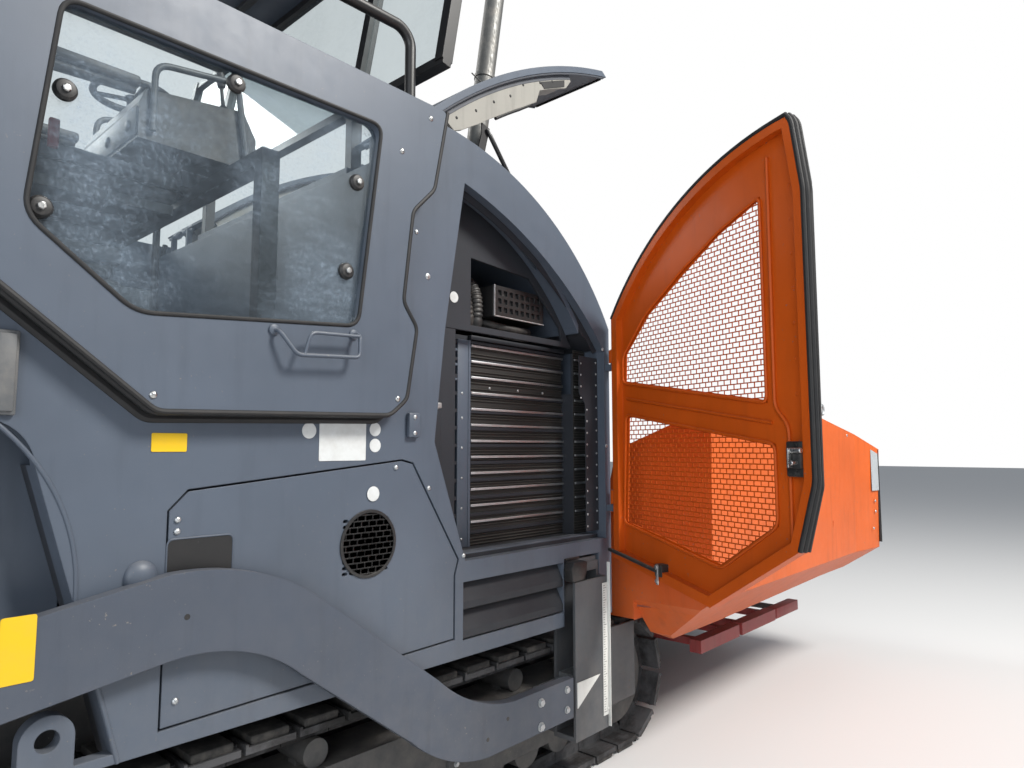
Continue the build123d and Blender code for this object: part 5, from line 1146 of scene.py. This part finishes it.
piping = Piece("seat_piping", "rubber", kind="one")
bellows = Piece("seat_bellows", "rubber", kind="one")
arms = Piece("seat_armrests", "plastic", slot="rubber", kind="one")
belts = Piece("seat_belt_buckles", "red", kind="one")
for side, word in WORDS.items():
    y = side * 0.72
    cushion("seat_base_cushion" + word, (-1.59, y - 0.23, 2.182), (-1.13, y + 0.23, 2.275), 2)
    cushion("seat_back_cushion" + word, (-1.6275, y - 0.22, 2.32), (-1.535, y + 0.22, 2.77), 0)
    rim = [(x, b, 2.216) for x, b in rect((-1.596, -1.124), (y - 0.236, y + 0.236))]
    piping.sweep(rim, 0.0042, 8, closed=True, bend=(0.05, 6))
    rim = [(-1.585, b, z) for b, z in rect((y - 0.226, y + 0.226), (2.314, 2.776))]
    piping.sweep(rim, 0.0042, 8, closed=True, bend=(0.05, 6))
    for level in range(6):
        grow = 0.12 if level % 2 else 0.105
        line = rect((-1.375 - grow, -1.375 + grow), (y - grow, y + grow))
        bellows.prism([(a, b, 1.84 + level * 0.05) for a, b in line], Z * 0.049, 0.008, bend=(0.03, 4))
    for across in (-0.272, 0.272):
        arm = at_y(y + across, ((-1.64, 2.4), (-1.59, 2.455), (-1.3, 2.47)))
        arms.sweep(arm, 0.016, 12, bend=(0.05, 5))
        arms.box((-1.52, -1.29), (y + across - 0.026, y + across + 0.026), (2.472, 2.505), 0.01)
        arms.box((-1.648, -1.632), sorted((y + across, y + across * 0.6)), (2.385, 2.42), 0.003)
    belts.box((-1.5, -1.475), (y - 0.262, y - 0.244), (2.24, 2.32), 0.004)

# Console: blank screens and key fields, levers with boots, red knob, wheel rim, grab handles
screen_glass = plastic("screen_glass_black", (0.012, 0.014, 0.018), 0.08, 0.15)
panel = Piece("console_blank_screens", screen_glass, "console")
keys = Piece("console_keys", "grey_plastic", "console")
knob = Piece("console_red_knob", plastic("knob_red", (0.45, 0.012, 0.01), 0.35, 0.1), "console")
levers = Piece("console_levers", "plastic", "console")
trim = Piece("console_trim", "grey_plastic", "console")


def on_panel(x, y, lift=0.0):
    """A point on the console's sloping top."""
    return Vector((x - lift * 0.12, y, 2.61 + (x + 1.18) * 0.04 / 0.33 + lift))


for x, y in (((-0.96, -0.86), (-0.56, -0.38)), ((-1.06, -0.96), (-0.34, -0.24))):
    panel.prism([on_panel(a, b, 0.0008) for a, b in rect(x, y)], Z * 0.004)
for row in range(4):
    for column in range(11):
        x, y = -1.15 + row * 0.04, -0.7 + column * 0.042
        if row > 1 or not -0.53 < y < -0.42:
            line = rect((x - 0.012, x + 0.012), (y - 0.013, y + 0.013))
            keys.prism([on_panel(a, b, 0.0006) for a, b in line], Z * 0.004)
knob.domes([on_panel(-1.15, -0.64, 0.004)], 0.018, 0.016, 18, Z)
lever = [
    (0, 0.026), (0.01, 0.024), (0.022, 0.014), (0.03, 0.007), (0.09, 0.006), (0.094, 0.013), (0.12, 0.017),
    (0.146, 0.012), (0.15, 0),
]
levers.turned(lever, [on_panel(-0.9, y) for y in (-0.69, -0.27)], 18, (-0.12, 0, 1))
hub = Vector((-1.13, -0.47, 2.682))
levers.sweep(circle(hub + Z * 0.012, 40, X * 0.125, Y * 0.125), 0.0125, 12, closed=True)
for t in turns(3):
    levers.rod(hub, hub + Vector((0.122 * math.cos(t + 0.5), 0.122 * math.sin(t + 0.5), 0.01)), 0.008, 10)
levers.domes([hub], 0.03, 0.016, 20, Z)
for y in (-0.752, -0.188):
    grip = at_y(y, ((-1.16, 2.47), (-1.16, 2.7), (-0.88, 2.74), (-0.84, 2.48)))
    trim.sweep(grip, 0.011, 12, bend=(0.05, 6))
trim.box((-1.204, -1.198), (-0.73, -0.21), (2.452, 2.548), 0.002)
trim.domes([(-1.204, y, 2.5) for y in (-0.66, -0.47, -0.28)], 0.02, 0.008, 18, -X)

# Platform: rubber mat with ribs; roof: ribs below
mat = Piece("platform_mat", "rubber", kind="one")
mat.box((-1.9, -0.52), (-1.08, 1.08), (1.7502, 1.756), 0.002)
for row in range(34):
    x = -1.89 + row * 0.04
    mat.box((x, x + 0.01), (-1.06, 1.06), (1.756, 1.7585))
roof_ribs = Piece("canopy_roof_ribs", "dark", kind="one")
for x in (-2.1, -1.5, -0.9, -0.4):
    roof_ribs.box((x, x + 0.035), (-0.96, 0.96), (3.715, 3.7402), 0.002)
for y in (-0.985, 0.955):
    roof_ribs.box((-2.27, -0.16), (y, y + 0.03), (3.725, 3.7402), 0.002)

# Augers: smooth helicoid flights on their shafts
INNER, OUTER, LEAD = 0.12, 1.165, 0.33
shaft = Vector((-2.06, 0, 0.36))
flight = Piece("auger_flight", "worn", "auger", smooth=40, replaces="auger")
flight.rod(shaft + Y * 0.11, shaft + Y * 1.175, 0.045, 28)
steps = int((OUTER - INNER) / LEAD * 32)
rings = []
for k in range(steps + 1):
    y = INNER + (OUTER - INNER) * k / steps
    turn = 2 * math.pi * (y - INNER) / LEAD
    spoke = Vector((math.cos(turn), 0, math.sin(turn)))
    section = ((0.043, -0.007), (0.043, 0.007), (0.189, 0.005), (0.189, -0.005))
    rings.append([shaft + Y * (y + shift) + spoke * radius for radius, shift in section])
flight.solid(rings)

# Screed: insulated lids with handles and bolts, grip plates on the walkways, bolts at the gates
lids = Piece("screed_cover_lids", "screed", "screed")
grips = Piece("screed_cover_handles", "zinc", "screed")
for near, far in ((0.07, 0.58), (0.62, 1.16)):
    lids.box((-2.76, -2.44), (near, far), (0.4004, 0.412), 0.004)
    low, high = (near + far) / 2 - 0.06, (near + far) / 2 + 0.06
    line = [(-2.6, low, 0.412), (-2.6, low, 0.44), (-2.6, high, 0.44), (-2.6, high, 0.412)]
    grips.sweep(line, 0.006, bend=(0.015, 4))
    heads = [(x, y, 0.412) for x in (-2.74, -2.46) for y in (near + 0.03, far - 0.03)]
    grips.bolts(heads, 0.008, Z)
tread = Piece("walkway_tread", "worn", "screed_extension")
for row in range(5):
    for column in range(38):
        centre = Vector((-3.325 + row * 0.03, 0.04 + column * 0.0318, 0.2902))
        turn = 1 if (row + column) % 2 else -1
        half, across = Vector((0.008, 0.008 * turn, 0)), Vector((0.0022, -0.0022 * turn, 0))
        ends = ((-1, -1), (1, -1), (1, 1), (-1, 1))
        tread.prism([centre + half * a + across * b for a, b in ends], Z * 0.002)
gate = Piece("screed_gate_fittings", "zinc", "screed_extension")
gate.bolts(at_y(1.3102, ((-2.95, 0.2), (-3.1, 0.2))), 0.011)
gate.bolts([(x, y, 0.3302) for x in (-2.92, -3.14) for y in (0.12, 0.6, 1.08)], 0.009, Z)

# Rear body: blank door panels with latches, grab rails at the steps, lamps, grip strips on the steps
REAR = -1.6402
panels = Piece("rear_door_panels", "body")
panels.box((-1.646, REAR), (0.44, 0.78), (0.83, 1.44), 0.002)
panels.box((-1.646, REAR), (0.8, 1.075), (0.83, 1.44), 0.002)
latches = Piece("rear_door_latches", "plastic")
for y in (0.745, 0.835):
    latches.box((-1.653, -1.646), (y - 0.014, y + 0.014), (1.1, 1.18), 0.003)
rails = Piece("rear_grab_rails", "black")
line = at_y(0.385, ((-1.64, 0.93), (-1.715, 0.93), (-1.715, 1.66), (-1.64, 1.66)))
rails.sweep(line, 0.0125, 12, bend=(0.035, 6))
tail = Piece("rear_lamps_red", plastic("lamp_red", (0.4, 0.012, 0.01), 0.2, 0.2))
tail.box((-1.662, REAR), (0.96, 1.06), (1.5, 1.56), 0.004)
amber = Piece("rear_lamps_amber", plastic("lamp_amber", (0.65, 0.22, 0.01), 0.2, 0.2))
amber.box((-1.662, REAR), (0.96, 1.06), (1.565, 1.625), 0.004)
strips = Piece("step_grip_strips", "worn")
for z in (0.96, 1.23, 1.5):
    for x in (-1.88, -1.82, -1.76, -1.7):
        strips.box((x, x + 0.018), (0.02, 0.31), (z + 0.0301, z + 0.0325))

for piece in PIECES:
    piece.done()
